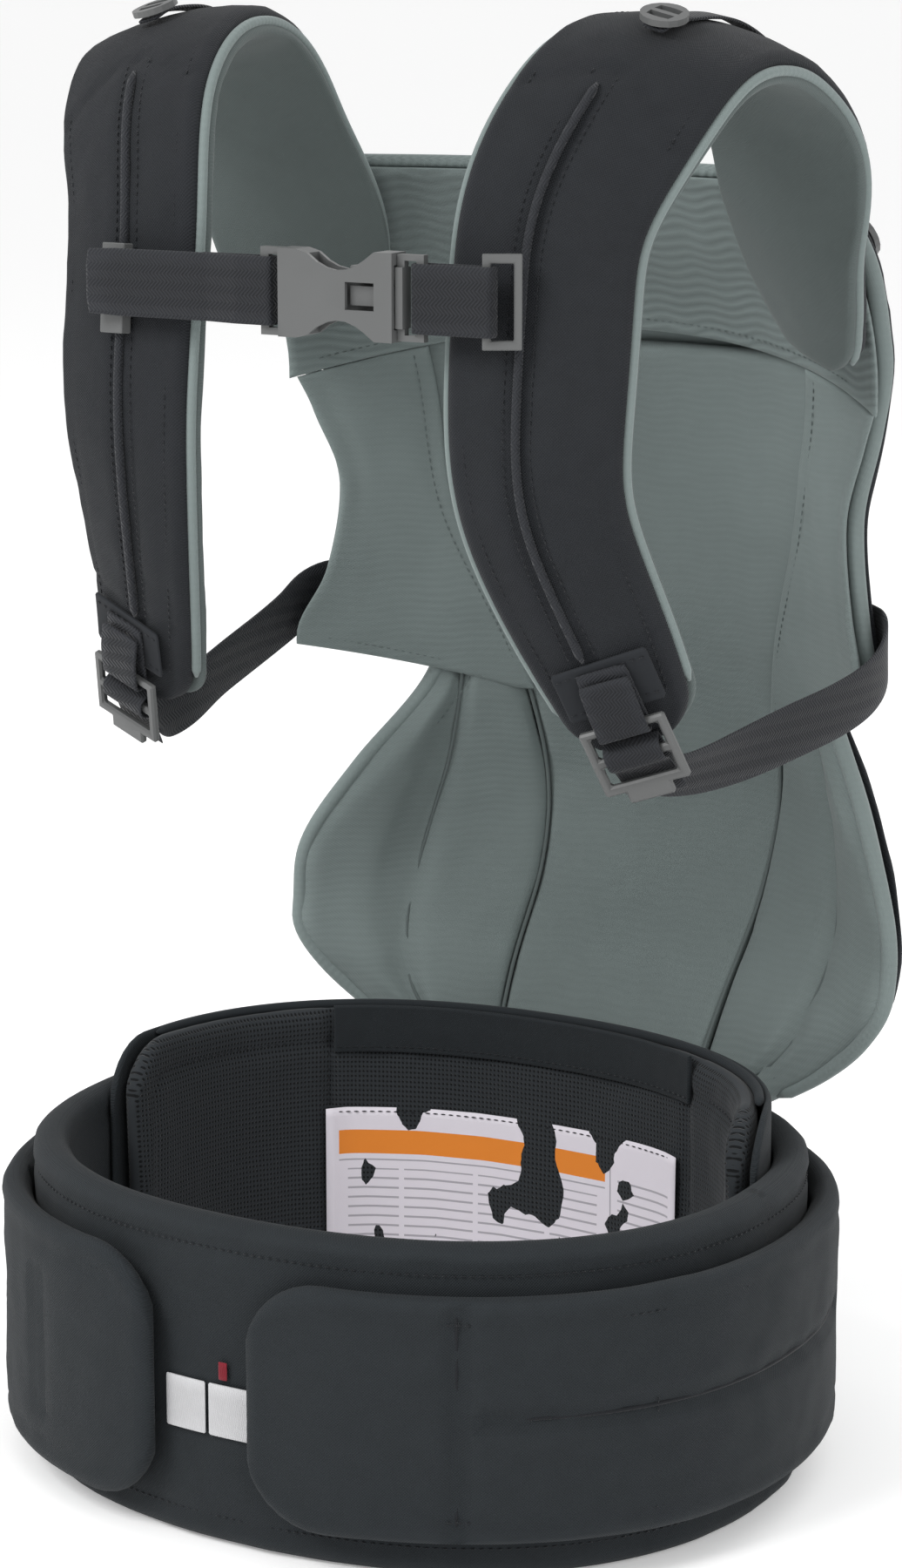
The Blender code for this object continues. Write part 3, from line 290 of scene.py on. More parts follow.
def cloth(name, colour, pitch, depth=0.5, sheen=0.15, roughness=0.88, mapped=True, ribs=0.0, rib_pitch=0.003,
          wander=0.0012, contrast=0.35, slub=0.6):
    """A woven or ribbed cloth; mapped cloth follows the piece's own pattern in metres."""
    if name in bpy.data.materials:
        return bpy.data.materials[name]
    made, nodes, shader = start_material(name, roughness, sheen)
    coordinates = nodes.add("ShaderNodeTexCoord")
    vector = coordinates.outputs["UV" if mapped else "Object"]
    solid = coordinates.outputs["Object"]
    weave = place_group(nodes, weave_group(), vector, Pitch=pitch, Slub=slub)
    wear_and_highlight = place_group(nodes, wear_and_highlight_group(), solid, Patch_Scale=16.0, Lint_Scale=1400.0)
    # Painted shade in the weave: threads passing under are painted darker and those passing over lighter, set
    # by contrast, with uneven yarn tone.
    dark, light = opaque(shade(colour, 1 - contrast)), opaque(shade(colour, 1 + contrast))
    base = nodes.mix(weave.outputs["Shade"], dark, light)
    height = weave.outputs["Height"]
    if ribs:
        rib = place_group(nodes, rib_group(), vector, Pitch=rib_pitch, Wander=wander)
        # Painted shade: the rib troughs are painted darker, towards 0.55 of the cloth colour.
        base = nodes.mix(nodes.math("MULTIPLY", nodes.math("SUBTRACT", 1.0, rib.outputs["Shade"]), ribs),
                         base, opaque(shade(colour, 0.55)))
    base = nodes.mix(nodes.math("MULTIPLY", wear_and_highlight.outputs["Blotch"], 0.16), base, opaque(shade(colour, 1.35)))
    base = nodes.mix(nodes.math("MULTIPLY", wear_and_highlight.outputs["Lint"], 0.18), base, opaque(shade(colour, 1.9)))
    # Painted highlight: convex edges of the cloth are painted lighter, towards 1.7 times its colour.
    base = nodes.mix(nodes.math("MULTIPLY", wear_and_highlight.outputs["Edge"], 0.30), base, opaque(shade(colour, 1.7)))
    nodes.link(base, shader.inputs["Base Color"])
    first = bump(nodes, shader, height, depth, 0.00035)
    if ribs:
        bump(nodes, shader, rib.outputs["Height"], min(1.0, ribs * 1.4), 0.0010, first)
    rough = nodes.math("ADD", nodes.math("MULTIPLY", wear_and_highlight.outputs["Blotch"], 0.06), roughness - 0.03)
    nodes.link(rough, shader.inputs["Roughness"])
    return made


def spacer_mesh(name, colour, pitch):
    """Breathing mesh: rows of rounded holes, set off by half a step, painted dark as the shade inside them."""
    if name in bpy.data.materials:
        return bpy.data.materials[name]
    made, nodes, shader = start_material(name, 0.93, 0.12)
    coordinates = nodes.add("ShaderNodeTexCoord")
    u, v, _ = nodes.split(coordinates.outputs["UV"])
    turn = 2 * math.pi / pitch
    first = nodes.math("SINE", nodes.math("MULTIPLY", nodes.math("ADD", u, v), turn * 0.70))
    second = nodes.math("SINE", nodes.math("MULTIPLY", nodes.math("SUBTRACT", u, v), turn * 0.70))
    hole = nodes.ramp(nodes.math("MULTIPLY", first, second), 0.18, 0.55)
    wear_and_highlight = place_group(nodes, wear_and_highlight_group(), coordinates.outputs["Object"], Patch_Scale=20.0, Lint_Scale=1500.0)
    # Painted shade: the holes are painted dark, at 0.30 of the mesh colour.
    base = nodes.mix(hole, opaque(shade(colour, 1.45)), opaque(shade(colour, 0.30)))
    base = nodes.mix(nodes.math("MULTIPLY", wear_and_highlight.outputs["Lint"], 0.2), base, opaque(shade(colour, 2.4)))
    nodes.link(base, shader.inputs["Base Color"])
    bump(nodes, shader, nodes.math("SUBTRACT", 1.0, hole), 0.8, 0.0009)
    return made


def webbing_cloth(name, colour, pitch):
    """Tight strap webbing in Object coordinates, ribbed across with a fine herringbone."""
    if name in bpy.data.materials:
        return bpy.data.materials[name]
    made, nodes, shader = start_material(name, 0.72, 0.10)
    coordinates = nodes.add("ShaderNodeTexCoord")
    vector = coordinates.outputs["Object"]
    x, y, z = nodes.split(vector)
    turn = 2 * math.pi / pitch
    along = nodes.math("ADD", x, nodes.math("MULTIPLY", y, 0.8))
    chevron = nodes.math("PINGPONG", z, 0.0030)
    line = nodes.math("SINE", nodes.math("MULTIPLY", nodes.math("ADD", along, chevron), turn))
    yarn = nodes.noise(vector, 1500.0, 1.0)
    height = nodes.math("ADD", nodes.math("MULTIPLY", line, 0.5), nodes.math("MULTIPLY", yarn, 0.6))
    wear_and_highlight = place_group(nodes, wear_and_highlight_group(), vector, Patch_Scale=30.0, Lint_Scale=1800.0)
    # Painted shade: the webbing is painted darker in the grooves between its ribs and lighter on their crowns,
    # with the uneven tone of the yarn.
    base = nodes.mix(nodes.ramp(height, -0.2, 0.9), opaque(shade(colour, 0.6)), opaque(shade(colour, 1.35)))
    # Painted highlight: convex edges of the webbing are painted lighter, towards 2.0 times its colour.
    base = nodes.mix(nodes.math("MULTIPLY", wear_and_highlight.outputs["Edge"], 0.4), base, opaque(shade(colour, 2.0)))
    nodes.link(base, shader.inputs["Base Color"])
    bump(nodes, shader, height, 0.65, 0.0004)
    return made


def moulded_plastic(name, colour):
    if name in bpy.data.materials:
        return bpy.data.materials[name]
    made, nodes, shader = start_material(name, 0.46)
    shader.inputs["Specular IOR Level"].default_value = 0.5
    coordinates = nodes.add("ShaderNodeTexCoord")
    vector = coordinates.outputs["Object"]
    wear_and_highlight = place_group(nodes, wear_and_highlight_group(), vector, Patch_Scale=45.0, Lint_Scale=2200.0)
    base = nodes.mix(nodes.math("MULTIPLY", wear_and_highlight.outputs["Blotch"], 0.35), opaque(shade(colour, 0.93)),
                     opaque(shade(colour, 1.15)))
    # Painted highlight: convex edges of the plastic are painted lighter, towards 1.7 times its colour.
    base = nodes.mix(nodes.math("MULTIPLY", wear_and_highlight.outputs["Edge"], 0.5), base, opaque(shade(colour, 1.7)))
    nodes.link(base, shader.inputs["Base Color"])
    rough = nodes.math("ADD", nodes.math("MULTIPLY", wear_and_highlight.outputs["Blotch"], 0.14), 0.38)
    nodes.link(rough, shader.inputs["Roughness"])
    bump(nodes, shader, nodes.noise(vector, 2600.0, 2.0), 0.25, 0.0001)
    return made


def label_satin(name, white, band):
    """A plain care label: a white field, one coloured band and thin grey ruled lines."""
    if name in bpy.data.materials:
        return bpy.data.materials[name]
    made, nodes, shader = start_material(name, 0.55, 0.25)
    coordinates = nodes.add("ShaderNodeTexCoord")
    u, v, _ = nodes.split(coordinates.outputs["UV"])

    def within(value, low, high):
        above = nodes.math("GREATER_THAN", value, low)
        below = nodes.math("LESS_THAN", value, high)
        return nodes.math("MULTIPLY", above, below)

    def both(first, second):
        return nodes.math("MULTIPLY", first, second)

    field = within(u, 0.006, 0.131)
    base = nodes.mix(both(field, within(v, 0.0655, 0.0760)), opaque(white), opaque(band))
    lines = nodes.math("LESS_THAN", nodes.math("PINGPONG", v, 0.0021), 0.00045)
    wide = both(both(within(u, 0.010, 0.127), within(v, 0.010, 0.0590)), lines)
    side = both(both(within(u, 0.138, 0.170), within(v, 0.010, 0.0700)), lines)
    gap = nodes.math("GREATER_THAN", nodes.math("PINGPONG", u, 0.017), 0.0012)
    ruled = nodes.math("MULTIPLY", nodes.math("MAXIMUM", wide, side), gap)
    base = nodes.mix(nodes.math("MULTIPLY", ruled, 0.55), base, (0.12, 0.12, 0.14, 1.0))
    rule = both(within(v, 0.0625, 0.0632), field)
    upright = both(within(u, 0.1335, 0.1342), within(v, 0.008, 0.076))
    base = nodes.mix(nodes.math("MULTIPLY", nodes.math("MAXIMUM", rule, upright), 0.6), base,
                     (0.15, 0.15, 0.17, 1.0))
    nodes.link(base, shader.inputs["Base Color"])
    weave = place_group(nodes, weave_group(), coordinates.outputs["UV"], Pitch=0.0007, Slub=0.4)
    bump(nodes, shader, weave.outputs["Height"], 0.35, 0.0002)
    return made


def finish_for(slot):
    """The material for one of the record's slots."""
    tones, measures = colours(), sizes()
    weave = measures.weave_pitch
    if slot == "belt_cloth":
        return cloth("slate cloth", tones.slate, weave, depth=0.60, sheen=0.05, contrast=0.45)
    if slot == "strap_cloth":
        return cloth("charcoal cloth", tones.charcoal, weave, depth=0.70, sheen=0.05, contrast=0.50)
    if slot == "grey_lining":
        return cloth("ribbed lining", tones.lining, weave, depth=0.35, sheen=0.18, ribs=0.07,
                     rib_pitch=measures.rib_pitch, wander=0.0005, contrast=0.14)
    if slot == "strap_lining":
        # Painted shade: the straps' lining is the grey lining darkened to 0.55, for the shadow on the straps'
        # inner faces.
        return cloth("shaded lining", shade(tones.lining, 0.55), weave, depth=0.35, sheen=0.12, contrast=0.16)
    if slot == "head_lining":
        return cloth("head lining", tones.lining, weave, depth=0.35, sheen=0.18, ribs=0.30,
                     rib_pitch=measures.rib_pitch * 1.3, wander=0.0009, contrast=0.14)
    if slot == "spacer_mesh":
        return spacer_mesh("spacer mesh", tones.mesh, measures.hole_pitch)
    if slot == "webbing":
        return webbing_cloth("strap webbing", tones.webbing, measures.webbing_pitch)
    if slot == "grey_plastic":
        return moulded_plastic("moulded grey plastic", tones.plastic)
    if slot == "label_cloth":
        return label_satin("label satin", tones.label, tones.label_band)
    if slot == "white_tape":
        return cloth("white tape", tones.tape, 0.0008, depth=0.6, sheen=0.1, mapped=False, contrast=0.25)
    if slot == "red_tape":
        return cloth("red tape", tones.tag, 0.0008, depth=0.4, mapped=False, contrast=0.2)
    if slot == "hook_tape":
        return cloth("hook tape", shade(tones.mesh, 0.8), 0.0015, depth=0.9, mapped=False, contrast=0.5)
    if slot == "thread":
        return cloth("dark thread", tones.thread, 0.0006, depth=0.3, mapped=False, contrast=0.3)
    if slot == "lining_thread":
        return cloth("grey thread", tones.lining_thread, 0.0006, depth=0.3, mapped=False, contrast=0.2)
    return moulded_plastic("stiff sheet", shade(tones.plastic, 0.4))


# ---- the shapes that the cloth follows, in metres, in the frame's own axes ----

BELT_CENTRE_Y = -0.04235
BELT_HALF_WIDTH = 0.155
BELT_HALF_DEPTH = 0.135
BELT_SQUARENESS = 2.2
PANEL_CENTRE_Y = ((0.112, 0.1445), (0.15, 0.172), (0.19, 0.207), (0.23, 0.221), (0.27, 0.212),
                  (0.31, 0.198), (0.35, 0.192), (0.40, 0.188), (0.44, 0.174), (0.475, 0.147), (0.51, 0.121))
PANEL_EDGE_Y = ((0.112, 0.1435), (0.15, 0.135), (0.19, 0.134), (0.25, 0.127),
                (0.29, 0.129), (0.36, 0.137), (0.43, 0.124), (0.47, 0.107), (0.51, 0.084))
PANEL_REFERENCE_X = ((0.112, 0.110), (0.15, 0.132), (0.185, 0.141), (0.25, 0.136),
                     (0.29, 0.132), (0.36, 0.121), (0.43, 0.137), (0.51, 0.137))
CENTRE_HALF = ((0.112, 0.047), (0.15, 0.051), (0.22, 0.056), (0.29, 0.0645),
               (0.35, 0.085), (0.41, 0.093), (0.45, 0.096))
SEAT_HALF = ((0.112, 0.078), (0.13, 0.108), (0.15, 0.130), (0.172, 0.1405),
             (0.20, 0.1385), (0.235, 0.121), (0.27, 0.098), (0.293, 0.088))
UPPER_HALF = ((0.268, 0.135), (0.29, 0.1345), (0.32, 0.1255), (0.36, 0.120), (0.40, 0.130),
              (0.435, 0.138), (0.47, 0.137), (0.50, 0.120))
# strap middle line from its lower end, over the shoulder, to the panel: place, way the dark face looks, width
STRAP_LINE = (
    (0.1090, -0.0648, 0.3030, 0.2600, -0.9400, -0.2200, 0.0460),
    (0.1020, -0.0779, 0.3310, 0.2800, -0.9400, -0.1500, 0.0540),
    (0.0935, -0.0953, 0.3660, 0.2400, -0.9650, -0.0500, 0.0590),
    (0.0883, -0.1089, 0.4000, 0.2160, -0.9760, 0.0000, 0.0630),
    (0.0885, -0.1091, 0.4250, 0.2160, -0.9700, 0.1100, 0.0660),
    (0.0885, -0.1051, 0.4585, 0.2160, -0.9700, 0.1200, 0.0670),
    (0.0885, -0.1011, 0.4920, 0.2160, -0.9700, 0.1200, 0.0680),
    (0.0955, -0.0919, 0.5160, 0.2500, -0.8800, 0.4000, 0.0710),
    (0.1030, -0.0754, 0.5380, 0.2600, -0.6600, 0.7000, 0.0740),
    (0.1085, -0.0454, 0.5545, 0.2000, -0.1500, 0.9700, 0.0730),
    (0.1130, -0.0123, 0.5530, 0.2000, 0.2500, 0.9500, 0.0700),
    (0.1165, 0.0176, 0.5380, 0.2000, 0.6000, 0.7800, 0.0670),
    (0.1190, 0.0392, 0.5150, 0.1800, 0.8500, 0.5000, 0.0670),
    (0.1140, 0.0531, 0.4793, 0.4345, 0.7602, 0.4830, 0.0690),
    (0.1150, 0.0682, 0.4542, 0.5038, 0.7463, 0.4350, 0.0620),
    (0.1150, 0.0783, 0.4326, 0.5983, 0.7427, 0.3008, 0.0440),
)
STRAP_FACE_EDGE = 0.0045
STRAP_FACE_CROWN = 0.0090
STRAP_FACE_BASE = -0.0024
STRAP_END_ROUND = (0.016, 0.012)
RAIL_ACROSS = 0.005


def unit(vector):
    vector = np.asarray(vector, float)
    return vector / np.linalg.norm(vector)


def smooth(table, at):
    """A smooth curve through the rows of a table, each a position followed by its values."""
    rows = np.asarray(table, float)
    keys, values = rows[:, 0], rows[:, 1:]
    rises = np.diff(values, axis=0) / np.diff(keys)[:, None]
    slopes = np.vstack([rises[:1], (rises[1:] + rises[:-1]) / 2, rises[-1:]])
    slopes[1:-1][rises[1:] * rises[:-1] <= 0] = 0.0
    at = min(max(at, keys[0]), keys[-1])
    left = int(min(max(np.searchsorted(keys, at) - 1, 0), len(keys) - 2))
    span = keys[left + 1] - keys[left]
    t = (at - keys[left]) / span
    start = values[left] * (1 + 2 * t) * (1 - t) ** 2 + slopes[left] * span * t * (1 - t) ** 2
    end = values[left + 1] * t * t * (3 - 2 * t) - slopes[left + 1] * span * t * t * (1 - t)
    result = start + end
    return float(result[0]) if len(result) == 1 else result


def oval(angle_deg):
    """Point on the belt band's outer face at floor height, and the way straight out of it."""
    c, s = math.cos(math.radians(angle_deg)), math.sin(math.radians(angle_deg))
    n = BELT_SQUARENESS
    reach = ((abs(c) / BELT_HALF_WIDTH) ** n + (abs(s) / BELT_HALF_DEPTH) ** n) ** (-1 / n)
    x, y = reach * c, reach * s
    out = unit((math.copysign(abs(x) ** (n - 1) / BELT_HALF_WIDTH ** n, x),
                math.copysign(abs(y) ** (n - 1) / BELT_HALF_DEPTH ** n, y), 0.0))
    return np.array([x, y + BELT_CENTRE_Y, 0.0]), out


def panel_depth(x, z):
    centre, edge = smooth(PANEL_CENTRE_Y, z), smooth(PANEL_EDGE_Y, z)
    return centre - (centre - edge) * (abs(x) / smooth(PANEL_REFERENCE_X, z)) ** 2.4


def panel_at(x, z):
    """Point on the panel's inside face and the way away from the wearer."""
    step = 0.0008
    slope_x = (panel_depth(x + step, z) - panel_depth(x - step, z)) / (2 * step)
    slope_z = (panel_depth(x, z + step) - panel_depth(x, z - step)) / (2 * step)
    return np.array([x, panel_depth(x, z) + BELT_CENTRE_Y, z]), unit((-slope_x, 1.0, -slope_z))


def head_bottom(x):
    return 0.432 - 0.022 * (abs(x) / 0.13) ** 2


def upper_bottom(x):
    return 0.269 + 0.024 * max(0.0, (abs(x) - 0.0645) / 0.0695)


def with_lengths(line):
    rows = np.array(line)
    gaps = np.linalg.norm(np.diff(rows[:, :3], axis=0), axis=1)
    return np.column_stack([np.concatenate([[0.0], np.cumsum(gaps)]), rows])


STRAP_TABLE = with_lengths(STRAP_LINE)
STRAP_LENGTH = float(STRAP_TABLE[-1, 0])


def strap_row(along):
    """The strap's row at a distance along it, eased so that it bends without corners."""
    reach = min(0.020, along, STRAP_LENGTH - along)
    near = [smooth(STRAP_TABLE, along + reach * part) for part in (-1.0, -0.6, -0.25, 0.0, 0.25, 0.6, 1.0)]
    return np.mean(near, axis=0)


def strap_frame(along, side):
    """Middle, way up the strap, way across it, way its dark face looks, and its width."""
    row = strap_row(along)
    ahead = strap_row(min(along + 0.001, STRAP_LENGTH))[:3]
    behind = strap_row(max(along - 0.001, 0.0))[:3]
    tangent = unit(ahead - behind)
    out = unit(row[3:6] - tangent * np.dot(row[3:6], tangent))
    mirror = np.array([side, 1.0, 1.0])
    tangent, out = tangent * mirror, out * mirror
    return row[:3] * mirror, tangent, np.cross(tangent, out), out, float(row[6])


def face_rise(across, half):
    return STRAP_FACE_EDGE + (STRAP_FACE_CROWN - STRAP_FACE_EDGE) * (1 - min(1.0, abs(across) / half) ** 2)


def strap_point(along, side, across, lift):
    middle, _, sideways, out, _ = strap_frame(along, side)
    return middle + sideways * across + out * lift


# ---- mesh making ----

def edge_steps(length, edge, pitch, turns=5):
    """Positions along a length, closer together where the edge rolls over."""
    rolled = [edge * (1 - math.cos(a)) for a in np.linspace(0, math.pi / 2, turns)]
    count = max(2, int(round((length - 2 * edge) / pitch)))
    middle = list(np.linspace(edge, length - edge, count + 1))[1:-1]
    return np.array(rolled + middle + [length - r for r in reversed(rolled)])


def write_mesh(name, vertices, faces, slot, uvs=None):
    mesh = bpy.data.meshes.new(name)
    mesh.from_pydata([tuple(v) for v in vertices], [], [tuple(f) for f in faces])
    if uvs is not None:
        layer = mesh.uv_layers.new(name="cloth")
        loops = np.empty(len(mesh.loops), int)
        mesh.loops.foreach_get("vertex_index", loops)
        layer.data.foreach_set("uv", np.asarray(uvs, float)[loops].ravel())
    work = bmesh.new()
    work.from_mesh(mesh)
    bmesh.ops.recalc_face_normals(work, faces=work.faces)
    work.to_mesh(mesh)
    work.free()
    mesh.polygons.foreach_set("use_smooth", np.ones(len(mesh.polygons), bool))
    mesh.materials.append(finish_for(slot))
    piece = bpy.data.objects.new(name, mesh)
    bpy.context.scene.collection.objects.link(piece)
    return piece


class Pattern:
    """A cut pattern laid on its surface: point, way out, distance to the edge and place on the cloth."""

    def __init__(self, points, outs, borders, places, closed=False):
        self.points, self.outs = np.array(points), np.array(outs)
        self.borders, self.places = np.array(borders), np.array(places)
        self.closed = closed


def fixed(piece, body, slot, *nodes, fill=None):
    """Fix a piece to one body, in place of the frame nodes it stands for."""
    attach(piece, body)
    if nodes:
        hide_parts(*nodes)


def laid(rows, closed=False):
    """A pattern from rows of spots: (point, way out, distance to the edge, place on the cloth)."""
    return Pattern(*([[spot[part] for spot in row] for row in rows] for part in range(4)), closed=closed)


def pad(name, pattern, near, far, edge, slot, relief=None, least=0.10):
    """A stuffed piece on a pattern, with rolled edges; relief adds height to each face."""
    rows, columns = pattern.borders.shape
    turn = 1 - np.minimum(pattern.borders, edge) / edge
    full = np.maximum(least, np.sqrt(np.maximum(0.0, 1 - turn ** 2)))
    middle, half = (near + far) / 2, (far - near) / 2
    low, high = middle - half * full, middle + half * full
    if relief is not None:
        for i in range(rows):
            for j in range(columns):
                dip_near, dip_far = relief(pattern.places[i, j], pattern.points[i, j], pattern.borders[i, j])
                low[i, j] -= dip_near * full[i, j]
                high[i, j] += dip_far * full[i, j]
    front = pattern.points + pattern.outs * high[:, :, None]
    back = pattern.points + pattern.outs * low[:, :, None]
    vertices = list(front.reshape(-1, 3)) + list(back.reshape(-1, 3))
    uvs = list(pattern.places.reshape(-1, 2)) * 2
    count = rows * columns
    faces = []
    for i in range(rows if pattern.closed else rows - 1):
        a, b = i * columns, ((i + 1) % rows) * columns
        for j in range(columns - 1):
            faces.append((a + j, a + j + 1, b + j + 1, b + j))
            faces.append((count + b + j, count + b + j + 1, count + a + j + 1, count + a + j))
        for j in (0, columns - 1):
            faces.append((a + j, b + j, count + b + j, count + a + j))
    if not pattern.closed:
        for a in (0, (rows - 1) * columns):
            for j in range(columns - 1):
                faces.append((a + j, a + j + 1, count + a + j + 1, count + a + j))
    return write_mesh(name, vertices, faces, slot, uvs)


def wrinkle(point, scale=60.0, seed=0.0):
    """A soft height between about -1 and 1 that changes slowly over the cloth."""
    spot = Vector(point) * scale + Vector((seed, seed * 1.7, -seed))
    return noise.fractal(spot, 0.8, 2.1, 3)


def dip(distance, depth=None, width=None):
    """How far a seam at this distance pulls the padding down."""
    depth = sizes().seam_depth if depth is None else depth
    width = sizes().seam_width if width is None else width
    return -depth * math.exp(-(distance / width) ** 2)


def belt_pattern(start_deg, end_deg, low, high, edge, pitch=0.004, corner=0.0, closed=False):
    angles = np.linspace(start_deg, end_deg, 241)
    points = np.array([oval(a)[0] for a in angles])
    lengths = np.concatenate([[0.0], np.cumsum(np.linalg.norm(np.diff(points, axis=0), axis=1))])
    total = float(lengths[-1])
    if closed:
        stops = np.linspace(0.0, total, int(total / pitch), endpoint=False)
    else:
        stops = edge_steps(total, max(edge, corner), pitch, 9 if corner else 5)
    heights = edge_steps(high - low, edge, pitch)
    rows = []
    for along in stops:
        point, out = oval(float(np.interp(along, lengths, angles)))
        reach = total if closed else min(along, total - along)
        inset = corner - math.sqrt(max(0.0, corner ** 2 - (corner - reach) ** 2)) if reach < corner else 0.0
        squeeze = (high - low - 2 * inset) / (high - low)
        row = []
        for height in heights:
            z = low + inset + height * squeeze
            near_edge = min(z - low - inset, high - inset - z)
            if not closed:
                near_edge = min(near_edge, reach)
            row.append((point + np.array([0.0, 0.0, z]), out, max(0.0, near_edge), (along, z)))
        rows.append(row)
    return laid(rows, closed)


def panel_pattern(low, high, left, right, edge, pitch=0.005):
    """A panel piece; low and high are functions of x, left and right of height."""
    mid_x = (left(0.29) + right(0.29)) / 2 if left(0.29) * right(0.29) > 0 else 0.0
    base, top = low(mid_x), high(mid_x)
    upright = edge_steps(top - base, edge, pitch)
    widest = max(right(z) - left(z) for z in np.linspace(base, top, 12))
    across_parts = edge_steps(widest, edge, pitch) / widest
    rows = []
    for along in upright:
        part = along / (top - base)
        x_left, x_right = left(base + along), right(base + along)
        row = []
        for share in across_parts:
            x = x_left + (x_right - x_left) * share
            z = low(x) + (high(x) - low(x)) * part
            point, out = panel_at(x, z)
            row.append((point, out, max(0.0, min(x - x_left, x_right - x, along, top - base - along)), (x, z)))
        rows.append(row)
    return laid(rows)


def strap_pattern(side, inset, edge, pitch=0.005, start=0.0, end=STRAP_LENGTH):
    """The strap seen flat: across, then along, rounded at both ends."""
    rows = []
    first, last = STRAP_END_ROUND
    shares = edge_steps(0.066, edge, pitch) / 0.066 * 2 - 1
    for along in start + edge_steps(end - start, first, pitch, 9):
        middle, _, sideways, out, width = strap_frame(along, side)
        half = width / 2 - inset
        low, high = along - start, end - along
        for reach, radius in ((low, first), (high, last)):
            if reach < radius:
                cut = 1 - math.sqrt(max(0.0, 1 - (1 - reach / radius) ** 2))
                half -= radius * 0.9 * cut
        rows.append([(middle + sideways * half * share, out, max(0.0, min(half * (1 - abs(share)), low, high)),
                      (half * share, along)) for share in shares])
    return laid(rows)


def puff(piece, rise, frames=20, pressure=4.0):
    """Inflate a padded piece a little with a cloth simulation, never more than rise."""
    scene = bpy.context.scene
    before = np.empty(len(piece.data.vertices) * 3)
    piece.data.vertices.foreach_get("co", before)
    before = before.reshape(-1, 3)
    cloth_modifier = piece.modifiers.new("swell", "CLOTH")
    settings = cloth_modifier.settings
    settings.use_pressure = True
    settings.uniform_pressure_force = pressure
    settings.effector_weights.gravity = 0.0
    settings.quality = 4
    settings.mass = 0.2
    cloth_modifier.point_cache.frame_start = 1
    cloth_modifier.point_cache.frame_end = frames
    for number in range(1, frames + 1):
        scene.frame_set(number)
    evaluated = piece.evaluated_get(bpy.context.evaluated_depsgraph_get())
    after = np.empty(len(piece.data.vertices) * 3)
    evaluated.data.vertices.foreach_get("co", after)
    after = after.reshape(-1, 3)
    piece.modifiers.remove(cloth_modifier)
    scene.frame_set(1)
    move = after - before
    length = np.linalg.norm(move, axis=1, keepdims=True)
    move *= np.minimum(1.0, rise / np.maximum(length, 1e-9))
    piece.data.vertices.foreach_set("co", (before + move).ravel())
    piece.data.update()


def polished(piece, levels):
    """Subdivide a finished piece for good, so that its mesh is what shows."""
    modifier = piece.modifiers.new("fine", "SUBSURF")
    modifier.levels = modifier.render_levels = levels
    evaluated = piece.evaluated_get(bpy.context.evaluated_depsgraph_get())
    mesh = bpy.data.meshes.new_from_object(evaluated)
    mesh.name = piece.name
    old = piece.data
    piece.modifiers.clear()
    piece.data = mesh
    bpy.data.meshes.remove(old)
    return piece


def recut(node, name, slot, levels=2, crease=0.85):
    """A finer copy of a frame node's shape: joined, creased at its edges and smoothed."""
    source = frame["nodes"][node]
    work = bmesh.new()
    work.from_mesh(source.data)
    bmesh.ops.remove_doubles(work, verts=work.verts, dist=0.00002)
    bmesh.ops.join_triangles(work, faces=work.faces, angle_face_threshold=math.radians(25),
                             angle_shape_threshold=math.radians(45))
    bmesh.ops.recalc_face_normals(work, faces=work.faces)
    layer = work.edges.layers.float.get("crease_edge") or work.edges.layers.float.new("crease_edge")
    for edge in work.edges:
        if len(edge.link_faces) == 2 and edge.calc_face_angle(0.0) > math.radians(50):
            edge[layer] = crease
    mesh = bpy.data.meshes.new(name)
    work.to_mesh(mesh)
    work.free()
    mesh.polygons.foreach_set("use_smooth", np.ones(len(mesh.polygons), bool))
    mesh.materials.clear()
    mesh.materials.append(finish_for(slot))
    piece = bpy.data.objects.new(name, mesh)
    bpy.context.scene.collection.objects.link(piece)
    return polished(piece, levels)


def tube(name, points, radius, slot, sides=8):
    """A rolled cloth edge or cord along a path, with rounded ends."""
    points = np.array(points)
    rings, centres = [], []
    radii = np.full(len(points), radius)
    radii[0] = radii[-1] = radius * 0.35
    normal = None
    for i, point in enumerate(points):
        direction = unit(points[min(i + 1, len(points) - 1)] - points[max(i - 1, 0)])
        if normal is None:
            normal = unit(np.cross(direction, (0.13, 0.31, 0.94)))
        normal = unit(normal - direction * np.dot(normal, direction))
        other = np.cross(direction, normal)
        rings.append([point + radii[i] * (normal * math.cos(a) + other * math.sin(a))
                      for a in np.linspace(0, 2 * math.pi, sides, endpoint=False)])
        centres.append(point)
    vertices = [v for ring in rings for v in ring] + [centres[0], centres[-1]]
    faces = []
    for i in range(len(rings) - 1):
        for j in range(sides):
            k = (j + 1) % sides
            faces.append((i * sides + j, i * sides + k, (i + 1) * sides + k, (i + 1) * sides + j))
    last = (len(rings) - 1) * sides
    for j in range(sides):
        k = (j + 1) % sides
        faces.append((len(vertices) - 2, k, j))
        faces.append((len(vertices) - 1, last + j, last + k))
    lengths = np.concatenate([[0.0], np.cumsum(np.linalg.norm(np.diff(points, axis=0), axis=1))])
    uvs = [(j * radius, lengths[i]) for i in range(len(rings)) for j in range(sides)] + [(0.0, 0.0)] * 2
    return write_mesh(name, vertices, faces, slot, uvs)


# ---- stitching, made with geometry nodes ----

